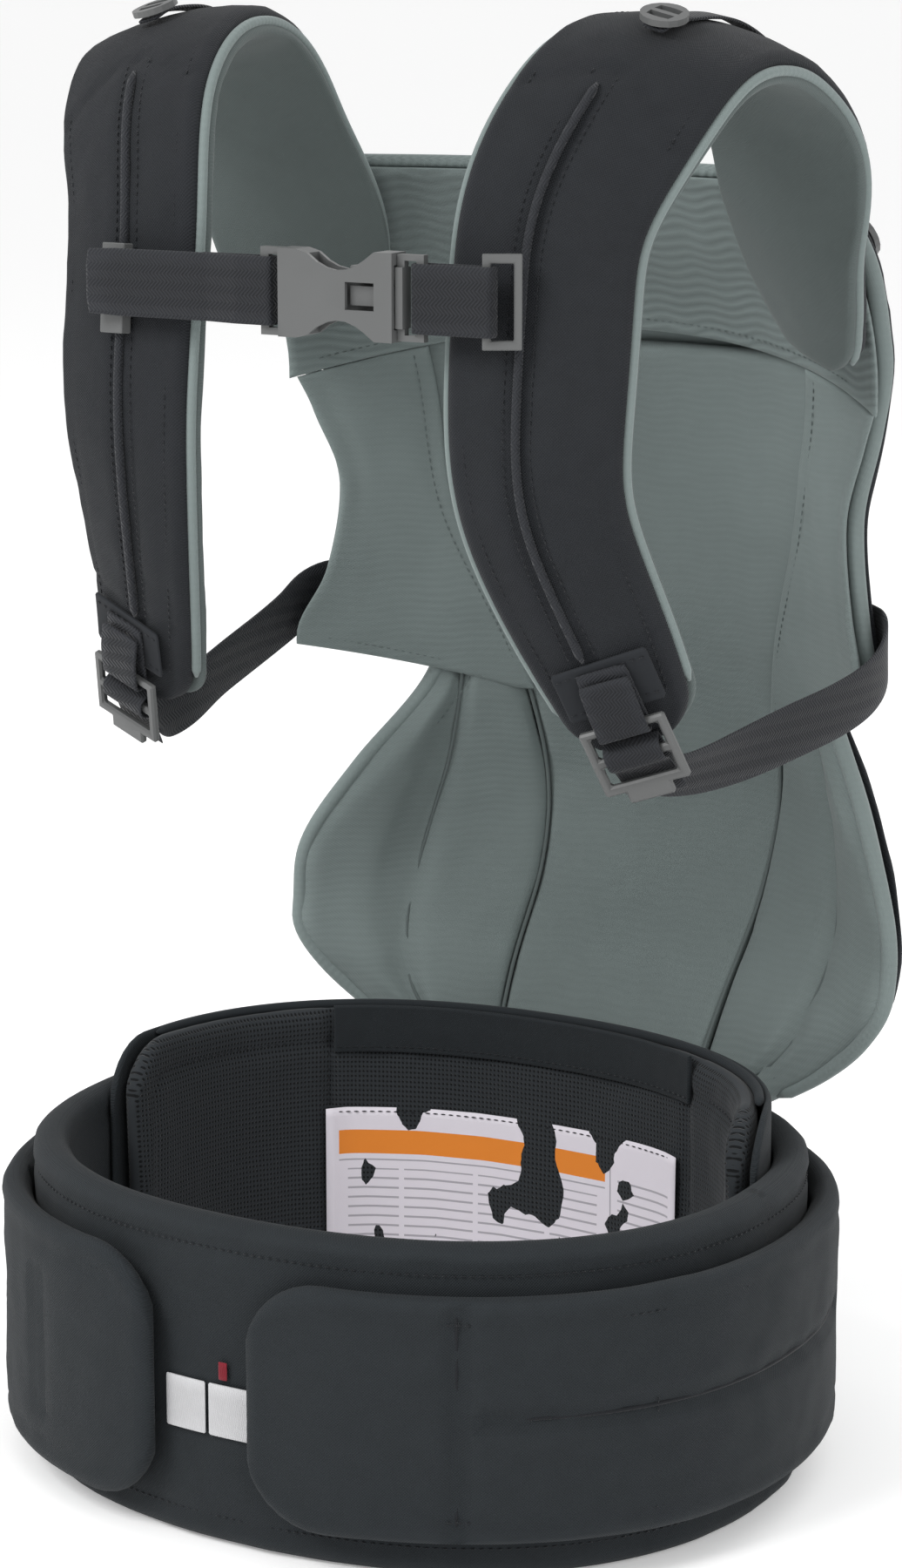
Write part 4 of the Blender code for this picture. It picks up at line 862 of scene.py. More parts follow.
def stitch_tree():
    """Stitches set along every line of a mesh of edges."""
    found = bpy.data.node_groups.get("sewn stitches")
    if found:
        return found
    tree = bpy.data.node_groups.new("sewn stitches", "GeometryNodeTree")
    sockets = (("Lines", "NodeSocketGeometry"), ("Pitch", "NodeSocketFloat"), ("Length", "NodeSocketFloat"),
               ("Width", "NodeSocketFloat"), ("Thread", "NodeSocketMaterial"))
    for label, kind in sockets:
        tree.interface.new_socket(label, in_out="INPUT", socket_type=kind)
    tree.interface.new_socket("Stitches", in_out="OUTPUT", socket_type="NodeSocketGeometry")
    nodes = Nodes(tree)
    start, end = nodes.add("NodeGroupInput"), nodes.add("NodeGroupOutput")
    curve = nodes.add("GeometryNodeMeshToCurve")
    nodes.link(start.outputs["Lines"], curve.inputs["Mesh"])
    spaced = nodes.add("GeometryNodeResampleCurve", mode="LENGTH")
    nodes.link(curve.outputs["Curve"], spaced.inputs["Curve"])
    nodes.link(start.outputs["Pitch"], spaced.inputs["Length"])
    bead = nodes.add("GeometryNodeMeshIcoSphere")
    bead.inputs["Radius"].default_value = 0.5
    bead.inputs["Subdivisions"].default_value = 1
    shape = nodes.add("ShaderNodeCombineXYZ")
    nodes.link(start.outputs["Length"], shape.inputs["X"])
    nodes.link(start.outputs["Width"], shape.inputs["Y"])
    nodes.link(start.outputs["Width"], shape.inputs["Z"])
    tangent = nodes.add("GeometryNodeInputTangent")
    turn = nodes.add("FunctionNodeAlignEulerToVector", axis="X")
    nodes.link(tangent.outputs["Tangent"], turn.inputs["Vector"])
    place = nodes.add("GeometryNodeInstanceOnPoints")
    nodes.link(spaced.outputs["Curve"], place.inputs["Points"])
    nodes.link(bead.outputs["Mesh"], place.inputs["Instance"])
    nodes.link(turn.outputs["Rotation"], place.inputs["Rotation"])
    nodes.link(shape.outputs["Vector"], place.inputs["Scale"])
    real = nodes.add("GeometryNodeRealizeInstances")
    nodes.link(place.outputs["Instances"], real.inputs["Geometry"])
    paint = nodes.add("GeometryNodeSetMaterial")
    nodes.link(real.outputs["Geometry"], paint.inputs["Geometry"])
    nodes.link(start.outputs["Thread"], paint.inputs["Material"])
    nodes.link(paint.outputs["Geometry"], end.inputs["Stitches"])
    return tree


def sew(name, lines, slot="thread"):
    """Stitches along lines of points, as one plain mesh."""
    vertices, edges = [], []
    for line in lines:
        first = len(vertices)
        vertices += [tuple(p) for p in line]
        edges += [(first + i, first + i + 1) for i in range(len(line) - 1)]
    mesh = bpy.data.meshes.new(name)
    mesh.from_pydata(vertices, edges, [])
    piece = bpy.data.objects.new(name, mesh)
    bpy.context.scene.collection.objects.link(piece)
    modifier = piece.modifiers.new("stitches", "NODES")
    modifier.node_group = stitch_tree()
    values = {"Pitch": sizes().stitch_pitch, "Length": sizes().stitch_length, "Width": sizes().thread_width,
              "Thread": finish_for(slot)}
    for item in modifier.node_group.interface.items_tree:
        if item.in_out == "INPUT" and item.name in values:
            modifier[item.identifier] = values[item.name]
    piece.update_tag()
    evaluated = piece.evaluated_get(bpy.context.evaluated_depsgraph_get())
    made = bpy.data.meshes.new_from_object(evaluated)
    made.name = name
    piece.modifiers.clear()
    piece.data = made
    bpy.data.meshes.remove(mesh)
    if not len(made.polygons):
        raise RuntimeError(f"{name}: no stitches were made")
    made.polygons.foreach_set("use_smooth", np.ones(len(made.polygons), bool))
    return piece


def seam_shade_lines(name, lines, body_or_blend, slot="thread", radius=0.00055):
    """Thin dark lines of painted shade in the grooves where two cloths meet in a seam and along folds, as one
    piece.
    """
    parts = [tube(f"{name}_{i}", line, radius, slot, 6) for i, line in enumerate(lines)]
    joined = join(name, parts)
    if isinstance(body_or_blend, str):
        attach(joined, body_or_blend)
    return joined


def join(name, parts):
    """Put plain meshes together in one object."""
    work = bmesh.new()
    for part in parts:
        work.from_mesh(part.data)
    mesh = bpy.data.meshes.new(name)
    work.to_mesh(mesh)
    work.free()
    mesh.materials.append(parts[0].data.materials[0])
    mesh.polygons.foreach_set("use_smooth", np.ones(len(mesh.polygons), bool))
    whole = bpy.data.objects.new(name, mesh)
    bpy.context.scene.collection.objects.link(whole)
    for part in parts:
        old = part.data
        bpy.data.objects.remove(part, do_unlink=True)
        bpy.data.meshes.remove(old)
    return whole


# ---- belt ----

def arc_between(start_deg, end_deg):
    """A way to turn an angle round the belt into a distance along a pattern that starts at start_deg."""
    angles = np.linspace(start_deg, end_deg, 241)
    points = np.array([oval(a)[0] for a in angles])
    lengths = np.concatenate([[0.0], np.cumsum(np.linalg.norm(np.diff(points, axis=0), axis=1))])
    return lambda angle: float(np.interp(angle, angles, lengths))


def belt_line(start_deg, end_deg, z, lift, pitch=2.0, slope=0.0):
    """Points along the belt at a height, off its outer face by lift."""
    line = []
    for angle in np.linspace(start_deg, end_deg, max(3, int(abs(end_deg - start_deg) / pitch))):
        point, out = oval(angle)
        rise = slope * (angle - start_deg) / (end_deg - start_deg)
        line.append(point + out * lift + np.array([0.0, 0.0, z + rise]))
    return line


def upright_line(angle, low, high, lift):
    point, out = oval(angle)
    return [point + out * lift + np.array([0.0, 0.0, z]) for z in np.linspace(low, high, 12)]


def build_band():
    def relief(place, point, border):
        soft = wrinkle(point, 34.0) * sizes().wrinkle_height
        seam = dip(border - 0.011, 0.0011, 0.0028)
        return soft * 0.5 + seam, soft + seam
    pattern = belt_pattern(0.0, 360.0, 0.0, 0.128, 0.006, 0.0045, closed=True)
    band = pad("belt_band", pattern, -0.0142, -0.0002, 0.006, "belt_cloth", relief)
    low = band.data.vertices
    for vertex in low:
        vertex.co.z = max(vertex.co.z, 0.0)
    fixed(band, "belt", "belt_cloth", "inner_band", fill=0.7)
    seam = sew("belt_band_stitches", [belt_line(0.0, 358.0, 0.117, -0.0007),
                                      belt_line(0.0, 358.0, 0.0115, -0.0007)])
    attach(seam, "belt")


def build_back_pad():
    face = -0.0149
    start, end = 8.0, 186.0
    at = arc_between(start, end)

    def relief(place, point, border):
        along, _ = place
        soft = wrinkle(point, 26.0, 3.0) * 0.0012
        seam = dip(border - 0.014, 0.0016, 0.0030)
        fold = dip(along - at(137.0), 0.0022, 0.0030) + dip(along - at(52.0), 0.0022, 0.0030)
        return soft + seam + fold, 0.0
    pattern = belt_pattern(start, end, 0.003, 0.147, 0.0065, 0.004, corner=0.028)
    mesh_pad = pad("back_pad_mesh", pattern, face - 0.0155, face - 0.0064, 0.0065, "spacer_mesh", relief)
    puff(mesh_pad, 0.0012)
    fixed(mesh_pad, "belt", "spacer_mesh", "back_pad", fill=0.75)
    shell = pad("back_pad_cover", belt_pattern(start, end, 0.003, 0.147, 0.0025, 0.005, corner=0.028),
                face - 0.0032, face - 0.0001, 0.0025, "belt_cloth")
    fixed(shell, "belt", "belt_cloth", "back_pad_shell")
    edge = belt_line(20.0, 174.0, 0.1462, face - 0.0049, 2.0)
    piping = tube("back_pad_piping", edge, 0.0021, "belt_cloth")
    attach(piping, "belt")

    hem_start, hem_end = 50.0, 136.0

    def hem_relief(place, point, border):
        return dip(border - 0.003, 0.0005, 0.0015) + wrinkle(point, 80.0, 9.0) * 0.0003, 0.0
    hem = pad("belt_hem", belt_pattern(hem_start, hem_end, 0.1285, 0.1490, 0.0012, 0.003), face - 0.0186,
              face - 0.0160, 0.0012, "belt_cloth", hem_relief)
    fixed(hem, "belt", "belt_cloth", "hem_band")
    lift = face - 0.0171
    seams = sew("back_pad_stitches", [belt_line(14.0, 49.0, 0.1330, lift + 0.0020),
                                      belt_line(138.0, 180.0, 0.1330, lift + 0.0020),
                                      belt_line(51.0, 135.0, 0.1312, lift - 0.0016),
                                      upright_line(137.0, 0.016, 0.134, lift + 0.0028),
                                      upright_line(52.0, 0.016, 0.126, lift + 0.0028)])
    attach(seams, "belt")


def build_label():
    """The care label: thin satin, sewn at the top and a little loose below."""
    wide, tall = 0.163, 0.086
    rows = []
    for share in np.linspace(0.0, 1.0, 40):
        angle = 138.0 - share * 84.0
        point, out = oval(angle)
        row = []
        for part in np.linspace(0.0, 1.0, 22):
            z = 0.018 + tall * part
            wave = 0.0009 * math.sin(share * 19.0 + part * 2.0) * (1 - part * 0.5)
            curl = 0.0016 * max(0.0, 1 - share / 0.05) + 0.0013 * max(0.0, (share - 0.95) / 0.05)
            border = min(part * tall, (1 - part) * tall, share * wide, (1 - share) * wide)
            row.append((point + out * (-0.0316 - abs(wave) - curl) + np.array([0.0, 0.0, z]), out, border,
                        (share * 0.175, part * tall)))
        rows.append(row)
    label = pad("care_label_satin", laid(rows), -0.00020, 0.00020, 0.0004, "label_cloth", least=0.6)
    fixed(label, "belt", "label_cloth", "care_label")
    seams = sew("label_stitches", [belt_line(136.5, 55.5, 0.1022, -0.0323),
                                   upright_line(137.0, 0.020, 0.102, -0.0328)])
    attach(seams, "belt")


def wing_seam_shade(side):
    """Seams of one wing: uprights as (angle, low, high, depth), levels as (start, end, z, depth)."""
    if side > 0:
        return ((-54.0, 0.020, 0.1105, 0.0034), (-27.0, 0.018, 0.1110, 0.0006)), \
               ((-51.5, 22.0, 0.0660, 0.0032),)
    return ((232.2, 0.030, 0.094, 0.0016), (229.6, 0.030, 0.094, 0.0012)), ()


def build_wings():
    for side_name, side in SIDES:
        right = side > 0
        start, end = (-86.0, 52.0) if right else (128.0, 256.4)
        low, high = (0.016, 0.1130) if right else (0.011, 0.1125)
        at = arc_between(start, end)
        uprights, levels = wing_seam_shade(side)
        seams_up = [(at(angle), z0, z1, depth) for angle, z0, z1, depth in uprights]
        seams_level = [(at(a), at(b), z, depth) for a, b, z, depth in levels]

        def relief(place, point, border, seams_up=seams_up, seams_level=seams_level, side=side):
            along, z = place
            lift = wrinkle(point, 30.0, 5.0 + side) * sizes().wrinkle_height * 1.1
            lift += dip(border - 0.0105, 0.0006, 0.0030)
            for seam, z0, z1, depth in seams_up:
                if z0 < z < z1:
                    lift += dip(along - seam, depth)
            for first, last, level, depth in seams_level:
                if first < along < last:
                    lift += dip(z - level, depth)
                    lift -= 0.0006 * abs(math.sin(along * 190.0)) * math.exp(-abs(z - level) / 0.009)
            return 0.0, lift
        pattern = belt_pattern(start, end, low, high, 0.0068, 0.0038, corner=0.030)
        wing = pad(f"wing_pad_{side_name}", pattern, 0.0020, 0.0113, 0.0068, "belt_cloth")
        puff(wing, 0.0012)
        carve(wing, pattern, relief)
        lift = 0.0110
        lines = [upright_line(angle, z0 + 0.002, z1 - 0.002, lift - depth + 0.0002)
                 for angle, z0, z1, depth in uprights]
        lines += [belt_line(a, b, z, lift - depth + 0.0002) for a, b, z, depth in levels]
        inset = 0.0105
        span = (start + 9.0, end - 9.0)
        lines += [belt_line(*span, high - inset, lift + 0.0001), belt_line(*span, low + inset, lift + 0.0001)]
        stitches = sew(f"wing_stitches_{side_name}", lines)
        # Painted shade: dark thread-coloured tubes laid in the deeper seam grooves stand for the shade there.
        dark = [upright_line(angle, z0, z1, lift - depth * 0.55) for angle, z0, z1, depth in uprights
                if depth > 0.0008]
        dark += [belt_line(a, b, z, lift - depth * 0.55, 1.5) for a, b, z, depth in levels]
        seams = seam_shade_lines(f"wing_seams_{side_name}", dark, None, radius=0.0009)
        for piece in (wing, stitches, seams):
            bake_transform(piece)
        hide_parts(f"wing_base_{side_name}", f"wing_{side_name}")
        for node, body in ((f"hook_patch_{side_name}", f"wing_{side_name}"),
                           (f"loop_field_{side_name}", "belt")):
            patch = recut(node, node + "_tape", "hook_tape", 1)
            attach(patch, body)
            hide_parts(node)


def carve(piece, pattern, relief):
    """Pull seams and wrinkles into the outer face of a pad that has been swollen."""
    rows, columns = pattern.borders.shape
    for i in range(rows):
        for j in range(columns):
            _, lift = relief(pattern.places[i, j], pattern.points[i, j], pattern.borders[i, j])
            full = min(1.0, pattern.borders[i, j] / 0.006)
            piece.data.vertices[i * columns + j].co += Vector(pattern.outs[i, j]) * lift * full
    piece.data.update()


def build_tabs():
    for node, slot in (("tab_left", "white_tape"), ("tab_right", "white_tape"), ("size_tag", "red_tape")):
        tape = recut(node, node + "_tape", slot, 2)
        fixed(tape, "belt", slot, node)


# ---- body panel ----

def centre_half(z):
    return smooth(CENTRE_HALF, z)


def panel_line(points, lift):
    """Points on the panel's inside face from (x, z) pairs, lifted towards the wearer."""
    line = []
    for (x0, z0), (x1, z1) in zip(points, points[1:]):
        count = max(2, int(math.hypot(x1 - x0, z1 - z0) / 0.004))
        for t in np.linspace(0.0, 1.0, count, endpoint=False):
            point, out = panel_at(x0 + (x1 - x0) * t, z0 + (z1 - z0) * t)
            line.append(point - out * lift)
    point, out = panel_at(*points[-1])
    line.append(point - out * lift)
    return line


def follow(half, low, high, side, inset=0.0, count=26):
    return [(side * (half(z) + inset), z) for z in np.linspace(low, high, count)]


def on_panel(piece, slot, *nodes, fill=None):
    """Fix a piece to the body panel, in place of the frame nodes it stands for."""
    fixed(piece, "panel", slot, *nodes, fill=fill)


def build_lining():
    def upper(z):
        return smooth(UPPER_HALF, z)

    def centre_relief(place, point, border):
        soft = wrinkle(point, 18.0, 2.0) * 0.0014 + wrinkle(point, 60.0, 4.0) * 0.0004
        return soft, 0.0
    centre = pad("centre_lining", panel_pattern(lambda x: 0.1135, lambda x: 0.424, lambda z: -centre_half(z),
                                                centre_half, 0.004, 0.0045),
                 -0.0006, 0.0064, 0.004, "grey_lining", centre_relief)
    on_panel(centre, "grey_lining", "centre_panel", "seat_foam", fill=0.5)

    def head_relief(place, point, border):
        soft = wrinkle(point, 22.0, 7.0) * 0.0014
        return soft + dip(border - 0.006, 0.0010, 0.0022), 0.0
    head = pad("head_lining_pad", panel_pattern(head_bottom, lambda x: 0.500, lambda z: -upper(z), upper, 0.004,
                                                0.0042),
               -0.0048, -0.0012, 0.004, "head_lining", head_relief)
    on_panel(head, "grey_lining", "head_panel", fill=0.4)
    padding = pad("panel_padding", panel_pattern(lambda x: 0.318, lambda x: 0.480, lambda z: 0.020 - upper(z),
                                                 lambda z: upper(z) - 0.020, 0.003, 0.007),
                  0.0068, 0.0074, 0.0006, "grey_lining")
    on_panel(padding, "foam", "panel_foam")

    def side_relief(place, point, border):
        soft = wrinkle(point, 24.0, 11.0) * 0.0012
        return soft + dip(border - 0.0055, 0.0007, 0.0020), 0.0
    for side_name, side in SIDES:
        inner = lambda z: centre_half(z) - 0.004
        left, right = (inner, upper) if side > 0 else (lambda z: -upper(z), lambda z: -inner(z))
        cloth_side = pad(f"side_lining_{side_name}",
                         panel_pattern(upper_bottom, lambda x: head_bottom(x) - 0.0003, left, right, 0.003,
                                       0.0045), -0.0044, -0.0014, 0.003, "grey_lining", side_relief)
        on_panel(cloth_side, "grey_lining", f"panel_side_{side_name}", fill=0.35)
    lines = [panel_line([(x, head_bottom(x) + 0.0055) for x in np.linspace(-0.128, 0.128, 40)], 0.0042)]
    for side in (-1.0, 1.0):
        lines.append(panel_line([(side * x, upper_bottom(x) + 0.0050) for x in np.linspace(0.066, 0.126, 16)],
                                0.0040))
        lines.append(panel_line(follow(lambda z: centre_half(z) + 0.002, 0.272, 0.416, side), 0.0042))
    seams = sew("lining_stitches", lines, "lining_thread")
    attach(seams, "panel")
    for side_name, side in SIDES:
        line = panel_line(follow(upper, 0.297, 0.497, side, -0.0030, 60), -0.0030)
        on_panel(tube(f"panel_edge_{side_name}", line, 0.0036, "grey_lining", 12), "grey_lining")
    top = panel_line([(x, 0.4995) for x in np.linspace(-0.119, 0.119, 50)], -0.002)
    rim = tube("panel_top_piping", top, 0.0030, "head_lining")
    on_panel(rim, "grey_lining")


SEAT_FOLD = ((0.118, 0.066), (0.132, 0.086), (0.155, 0.098), (0.180, 0.1026), (0.210, 0.0990),
             (0.240, 0.0920), (0.270, 0.0860), (0.290, 0.0830))


def build_seat():
    def seat(z):
        return smooth(SEAT_HALF, z)

    for side_name, side in SIDES:
        inner = lambda z: centre_half(z) + 0.0006
        left, right = (inner, seat) if side > 0 else (lambda z: -seat(z), lambda z: -inner(z))

        def relief(place, point, border, side=side):
            x, z = place
            fold = abs(x) - smooth(SEAT_FOLD, z)
            folds = dip(fold, 0.0036, 0.0030)
            if side < 0:
                folds += dip(fold - 0.0085 * math.sin((z - 0.118) * 18.5), 0.0020, 0.0030)
            plump = 0.0022 * math.exp(-((fold - 0.016) / 0.010) ** 2)
            soft = wrinkle(point, 20.0, 13.0 + side) * 0.0016
            return soft + folds + plump, 0.0
        pattern = panel_pattern(lambda x: 0.1135, lambda x: 0.292, left, right, 0.0075, 0.0045)
        wing = pad(f"seat_wing_pad_{side_name}", pattern, -0.0026, 0.0062, 0.0075, "grey_lining", relief)
        puff(wing, 0.0014)
        on_panel(wing, "grey_lining", f"seat_wing_{side_name}", fill=0.8)
        border = []
        for z in np.linspace(0.118, 0.288, 60):
            point, out = panel_at(side * (seat(z) - 0.0012), z)
            border.append(point + out * 0.0020)
        rolled = tube(f"seat_border_{side_name}", border, 0.0034, "grey_lining", 10)
        on_panel(rolled, "grey_lining")
        joint = []
        for z in np.linspace(0.116, 0.286, 50):
            point, out = panel_at(side * (centre_half(z) + 0.0002), z)
            joint.append(point - out * 0.0006)
        folds = [(side * smooth(SEAT_FOLD, z), z) for z in np.linspace(0.122, 0.284, 40)]
        fold_line = panel_line(folds, 0.0006)
        # Painted shade: darker grey tubes along the joint and the fold line stand for the shade in the groove
        # and the crease.
        cord = seam_shade_lines(f"seat_seam_{side_name}", [joint, fold_line], "panel", "lining_thread", 0.0009)
        beside_edge = panel_line(follow(seat, 0.125, 0.280, side, -0.0130), 0.0028)
        stitches = sew(f"seat_stitches_{side_name}", [beside_edge], "lining_thread")
        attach(stitches, "panel")


def build_outer_cloth():
    def upper(z):
        return smooth(UPPER_HALF, z)

    def seat(z):
        return smooth(SEAT_HALF, z)

    def outer_relief(place, point, border):
        x, z = place
        soft = wrinkle(point, 17.0, 21.0) * 0.0016
        seams = dip(abs(x) - 0.062, 0.0016, 0.0030) + dip(z - 0.452, 0.0014, 0.0030)
        return 0.0, soft + seams + dip(border - 0.008, 0.0010, 0.0024)
    inset = 0.007
    cut = panel_pattern(lambda x: 0.2985, lambda x: 0.4955, lambda z: inset - upper(z),
                        lambda z: upper(z) - inset, 0.004, 0.0046)
    outer = pad("panel_outer_cloth", cut, 0.0070, 0.0118, 0.004, "strap_cloth", outer_relief)
    on_panel(outer, "strap_cloth", "panel_outer", fill=0.5)

    def seat_relief(place, point, border):
        x, _ = place
        soft = wrinkle(point, 17.0, 25.0) * 0.0016
        return 0.0, soft + dip(abs(x) - 0.056, 0.0018, 0.0030) + dip(border - 0.008, 0.0010, 0.0024)
    seat_cloth = pad("seat_outer_cloth", panel_pattern(lambda x: 0.118, lambda x: 0.296,
                                                       lambda z: 0.0085 - seat(z), lambda z: seat(z) - 0.0085,
                                                       0.004, 0.0046),
                     0.0078, 0.0125, 0.004, "strap_cloth", seat_relief)
    on_panel(seat_cloth, "strap_cloth", "seat_outer", fill=0.5)
    lines = []
    for side in (-1.0, 1.0):
        lines.append(panel_line([(side * 0.0655, z) for z in np.linspace(0.306, 0.492, 30)], -0.0119))
        lines.append(panel_line([(side * 0.0595, z) for z in np.linspace(0.130, 0.290, 30)], -0.0127))
    lines.append(panel_line([(x, 0.4555) for x in np.linspace(-0.125, 0.125, 40)], -0.0119))
    lines.append(panel_line([(x, 0.3060) for x in np.linspace(-0.115, 0.115, 40)], -0.0119))
    seams = sew("outer_stitches", lines)
    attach(seams, "panel")


# ---- shoulder straps ----

def build_straps():
    for side_name, side in SIDES:
        rail = RAIL_ACROSS * (-1 if side > 0 else 1)

        def relief(place, point, border, rail=rail, side=side):
            across, along = place
            half = strap_row(along)[-1] / 2
            rise = (STRAP_FACE_CROWN - STRAP_FACE_EDGE) * (1 - min(1.0, abs(across) / half) ** 2)
            rise += wrinkle(point, 40.0, 31.0 + side) * 0.0007
            if 0.030 < along < 0.262:
                rise += dip(abs(across - rail) - 0.0034, 0.0013, 0.0016)
            rise += dip(border - 0.0065, 0.0008, 0.0018)
            slant = along - 0.262 + abs(across) * 0.55
            rise += dip(slant, 0.0012, 0.0022)
            rise += dip(along - 0.042, 0.0010, 0.0022)
            return 0.0, rise
        cover = pad(f"strap_face_{side_name}", strap_pattern(side, 0.0, 0.0042, 0.0038), STRAP_FACE_BASE,
                    STRAP_FACE_EDGE, 0.0042, "strap_cloth", relief)
        on_panel(cover, "strap_cloth", f"strap_cover_{side_name}", f"strap_foam_{side_name}", fill=0.7)

        def lining_relief(place, point, border, side=side):
            across, along = place
            half = strap_row(along)[-1] / 2
            crown = 0.0018 * (1 - min(1.0, abs(across) / half) ** 2)
            return crown + wrinkle(point, 36.0, 41.0 + side) * 0.0007, 0.0
        lining = pad(f"strap_inside_{side_name}", strap_pattern(side, -0.0020, 0.0022, 0.0046),
                     -0.0070, -0.0026, 0.0022, "strap_lining", lining_relief)
        on_panel(lining, "grey_lining", f"strap_lining_{side_name}", fill=0.5)
        edges = []
        for way in (-1.0, 1.0):
            line = []
            for along in np.linspace(0.016, STRAP_LENGTH - 0.004, 110):
                width = strap_row(along)[-1]
                line.append(strap_point(along, side, way * (width / 2 + 0.0006), -0.0016))
            edges.append(line)
        for label, line in zip(("a", "b"), edges):
            binding = tube(f"strap_binding_{side_name}_{label}", line, sizes().piping_radius * 1.25,
                           "grey_lining", 10)
            on_panel(binding, "grey_lining")
        base, top = 0.041, 0.252
        line = [strap_point(along, side, rail, STRAP_FACE_CROWN + 0.0006)
                for along in np.linspace(base, top, 60)]
        piping = tube(f"strap_rail_cord_{side_name}", line, 0.0017, "webbing", 10)
        on_panel(piping, "webbing", f"strap_rail_{side_name}")
        patch = recut(f"end_patch_{side_name}", f"end_patch_cloth_{side_name}", "strap_cloth", 2)
        on_panel(patch, "strap_cloth", f"end_patch_{side_name}")
        lines = []
        for offset in (-0.0052, 0.0052):
            lines.append([strap_point(a, side, rail + offset, face_rise(rail + offset, 0.033) - 0.0001)
                          for a in np.linspace(0.044, 0.256, 80)])
        for way in (-1.0, 1.0):
            line = []
            for a in np.linspace(0.020, STRAP_LENGTH - 0.020, 130):
                half = strap_row(a)[-1] / 2
                across = half - 0.0066
                line.append(strap_point(a, side, way * across, face_rise(across, half) - 0.0006))
            lines.append(line)
        for start in (0.0215, 0.0365):
            lines.append([strap_point(start, side, a, STRAP_FACE_CROWN + 0.0015)
                          for a in np.linspace(-0.0165, 0.0165, 20)])
        stitches = sew(f"strap_stitches_{side_name}", lines)
        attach(stitches, "panel")


def build_strap_webbing():
    for side_name, side in SIDES:
        for node in ("adjuster_loop", "adjuster_web", "lifter_web", "side_web"):
            full = f"{node}_{side_name}"
            web = recut(full, full + "_strap", "webbing", 2)
            on_panel(web, "webbing", full)
        threaded = lock_web(side_name, side)
        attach(threaded, f"lock_{side_name}")


def lock_web(side_name, side):
    """Webbing threaded through the ladder lock, over its middle bar."""
    _, up, across, out, _ = strap_frame(0.004, side)
    path = ((-0.0230, -0.0075), (-0.0150, -0.0052), (-0.0080, -0.0034), (-0.0052, -0.0014), (-0.0042, 0.0010),
            (-0.0026, 0.0026), (0.0, 0.0029), (0.0026, 0.0026), (0.0042, 0.0010), (0.0050, -0.0012),
            (0.0060, -0.0026))
    middle = strap_point(0.0, side, 0.0, 0.0135) + up * 0.0005
    line = [middle + up * a + out * t for a, t in path]
    return ribbon(f"lock_web_{side_name}", line, across, 0.0112, 0.0013, "webbing")


def ribbon(name, line, across, half, thick, slot):
    """A flat strap along a path, with softly rounded edges."""
    line = np.array(line)
    rows, travelled = [], 0.0
    for i, point in enumerate(line):
        direction = unit(line[min(i + 1, len(line) - 1)] - line[max(i - 1, 0)])
        side_way = unit(across - direction * np.dot(across, direction))
        out = np.cross(direction, side_way)
        travelled += float(np.linalg.norm(point - line[i - 1])) if i else 0.0
        rows.append([(point + side_way * half * part, out, half * (1 - abs(part)), (half * part, travelled))
                     for part in (-1.0, -0.96, -0.5, 0.0, 0.5, 0.96, 1.0)])
    piece = pad(name, laid(rows), -thick / 2, thick / 2, 0.0004, slot, least=0.35)
    return polished(piece, 1)


def build_chest_strap():
    for node, body in (("chest_web_left", "chest_left"), ("chest_web_right", "chest_male")):
        web = recut(node, node + "_strap", "webbing", 2)
        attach(web, body)
        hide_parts(node)


def paint_hardware():
    """Moulded pieces keep their frame shape and get their finish."""
    slots = {entry["node"]: entry["material_slot"] for entry in frame["record"]["subparts"]}
    for node, slot in slots.items():
        if slot not in ("grey_plastic", "stiff_sheet"):
            continue
        piece = frame["nodes"][node]
        for place in piece.material_slots:
            place.material = finish_for(slot)


# ---- stage ----

def build_stage():
    scene = bpy.context.scene
    bpy.ops.mesh.primitive_plane_add(size=60.0, location=(0.0, 0.0, -0.0002))
    floor = bpy.context.object
    floor.name = "studio_floor"
    paint = bpy.data.materials.new("pale floor")
    paint.use_nodes = True
    shader = paint.node_tree.nodes["Principled BSDF"]
    shader.inputs["Base Color"].default_value = (0.90, 0.90, 0.90, 1.0)
    shader.inputs["Roughness"].default_value = 0.9
    shader.inputs["Emission Color"].default_value = (1.0, 1.0, 1.0, 1.0)
    shader.inputs["Emission Strength"].default_value = 0.22
    floor.data.materials.append(paint)
    world = scene.world or bpy.data.worlds.new("studio")
    scene.world = world
    world.use_nodes = True
    sky = world.node_tree.nodes["Background"]
    sky.inputs["Color"].default_value = (1.0, 1.0, 1.0, 1.0)
    sky.inputs["Strength"].default_value = 0.80
    lamps = (("key", (-0.9, -1.9, 2.1), 1.2, 44.0), ("fill", (2.0, -1.2, 1.3), 1.6, 14.0),
             ("back", (0.6, 2.0, 1.8), 1.4, 16.0))
    for name, place, size, power in lamps:
        light = bpy.data.lights.new(name, "AREA")
        light.size = size
        light.energy = power
        lamp = bpy.data.objects.new(name, light)
        lamp.location = place
        aim = Vector((0.0, 0.0, 0.28)) - Vector(place)
        lamp.rotation_euler = aim.to_track_quat("-Z", "Y").to_euler()
        scene.collection.objects.link(lamp)
    azimuth, elevation, distance = math.radians(30.0), math.radians(12.25), 1.579
    target = Vector((0.011, -0.03595, 0.269))
    back = Vector((math.sin(azimuth) * math.cos(elevation), -math.cos(azimuth) * math.cos(elevation),
                   math.sin(elevation)))
    lens = bpy.data.cameras.new("camera")
    lens.sensor_fit = "VERTICAL"
    lens.sensor_height = 36.0
    lens.lens = 93.0
    eye = bpy.data.objects.new("camera", lens)
    eye.location = target + back * distance
    eye.rotation_euler = (-back).to_track_quat("-Z", "Y").to_euler()
    scene.collection.objects.link(eye)
    scene.camera = eye
    scene.view_settings.view_transform = "Standard"


# ---- operators, panel and running ----

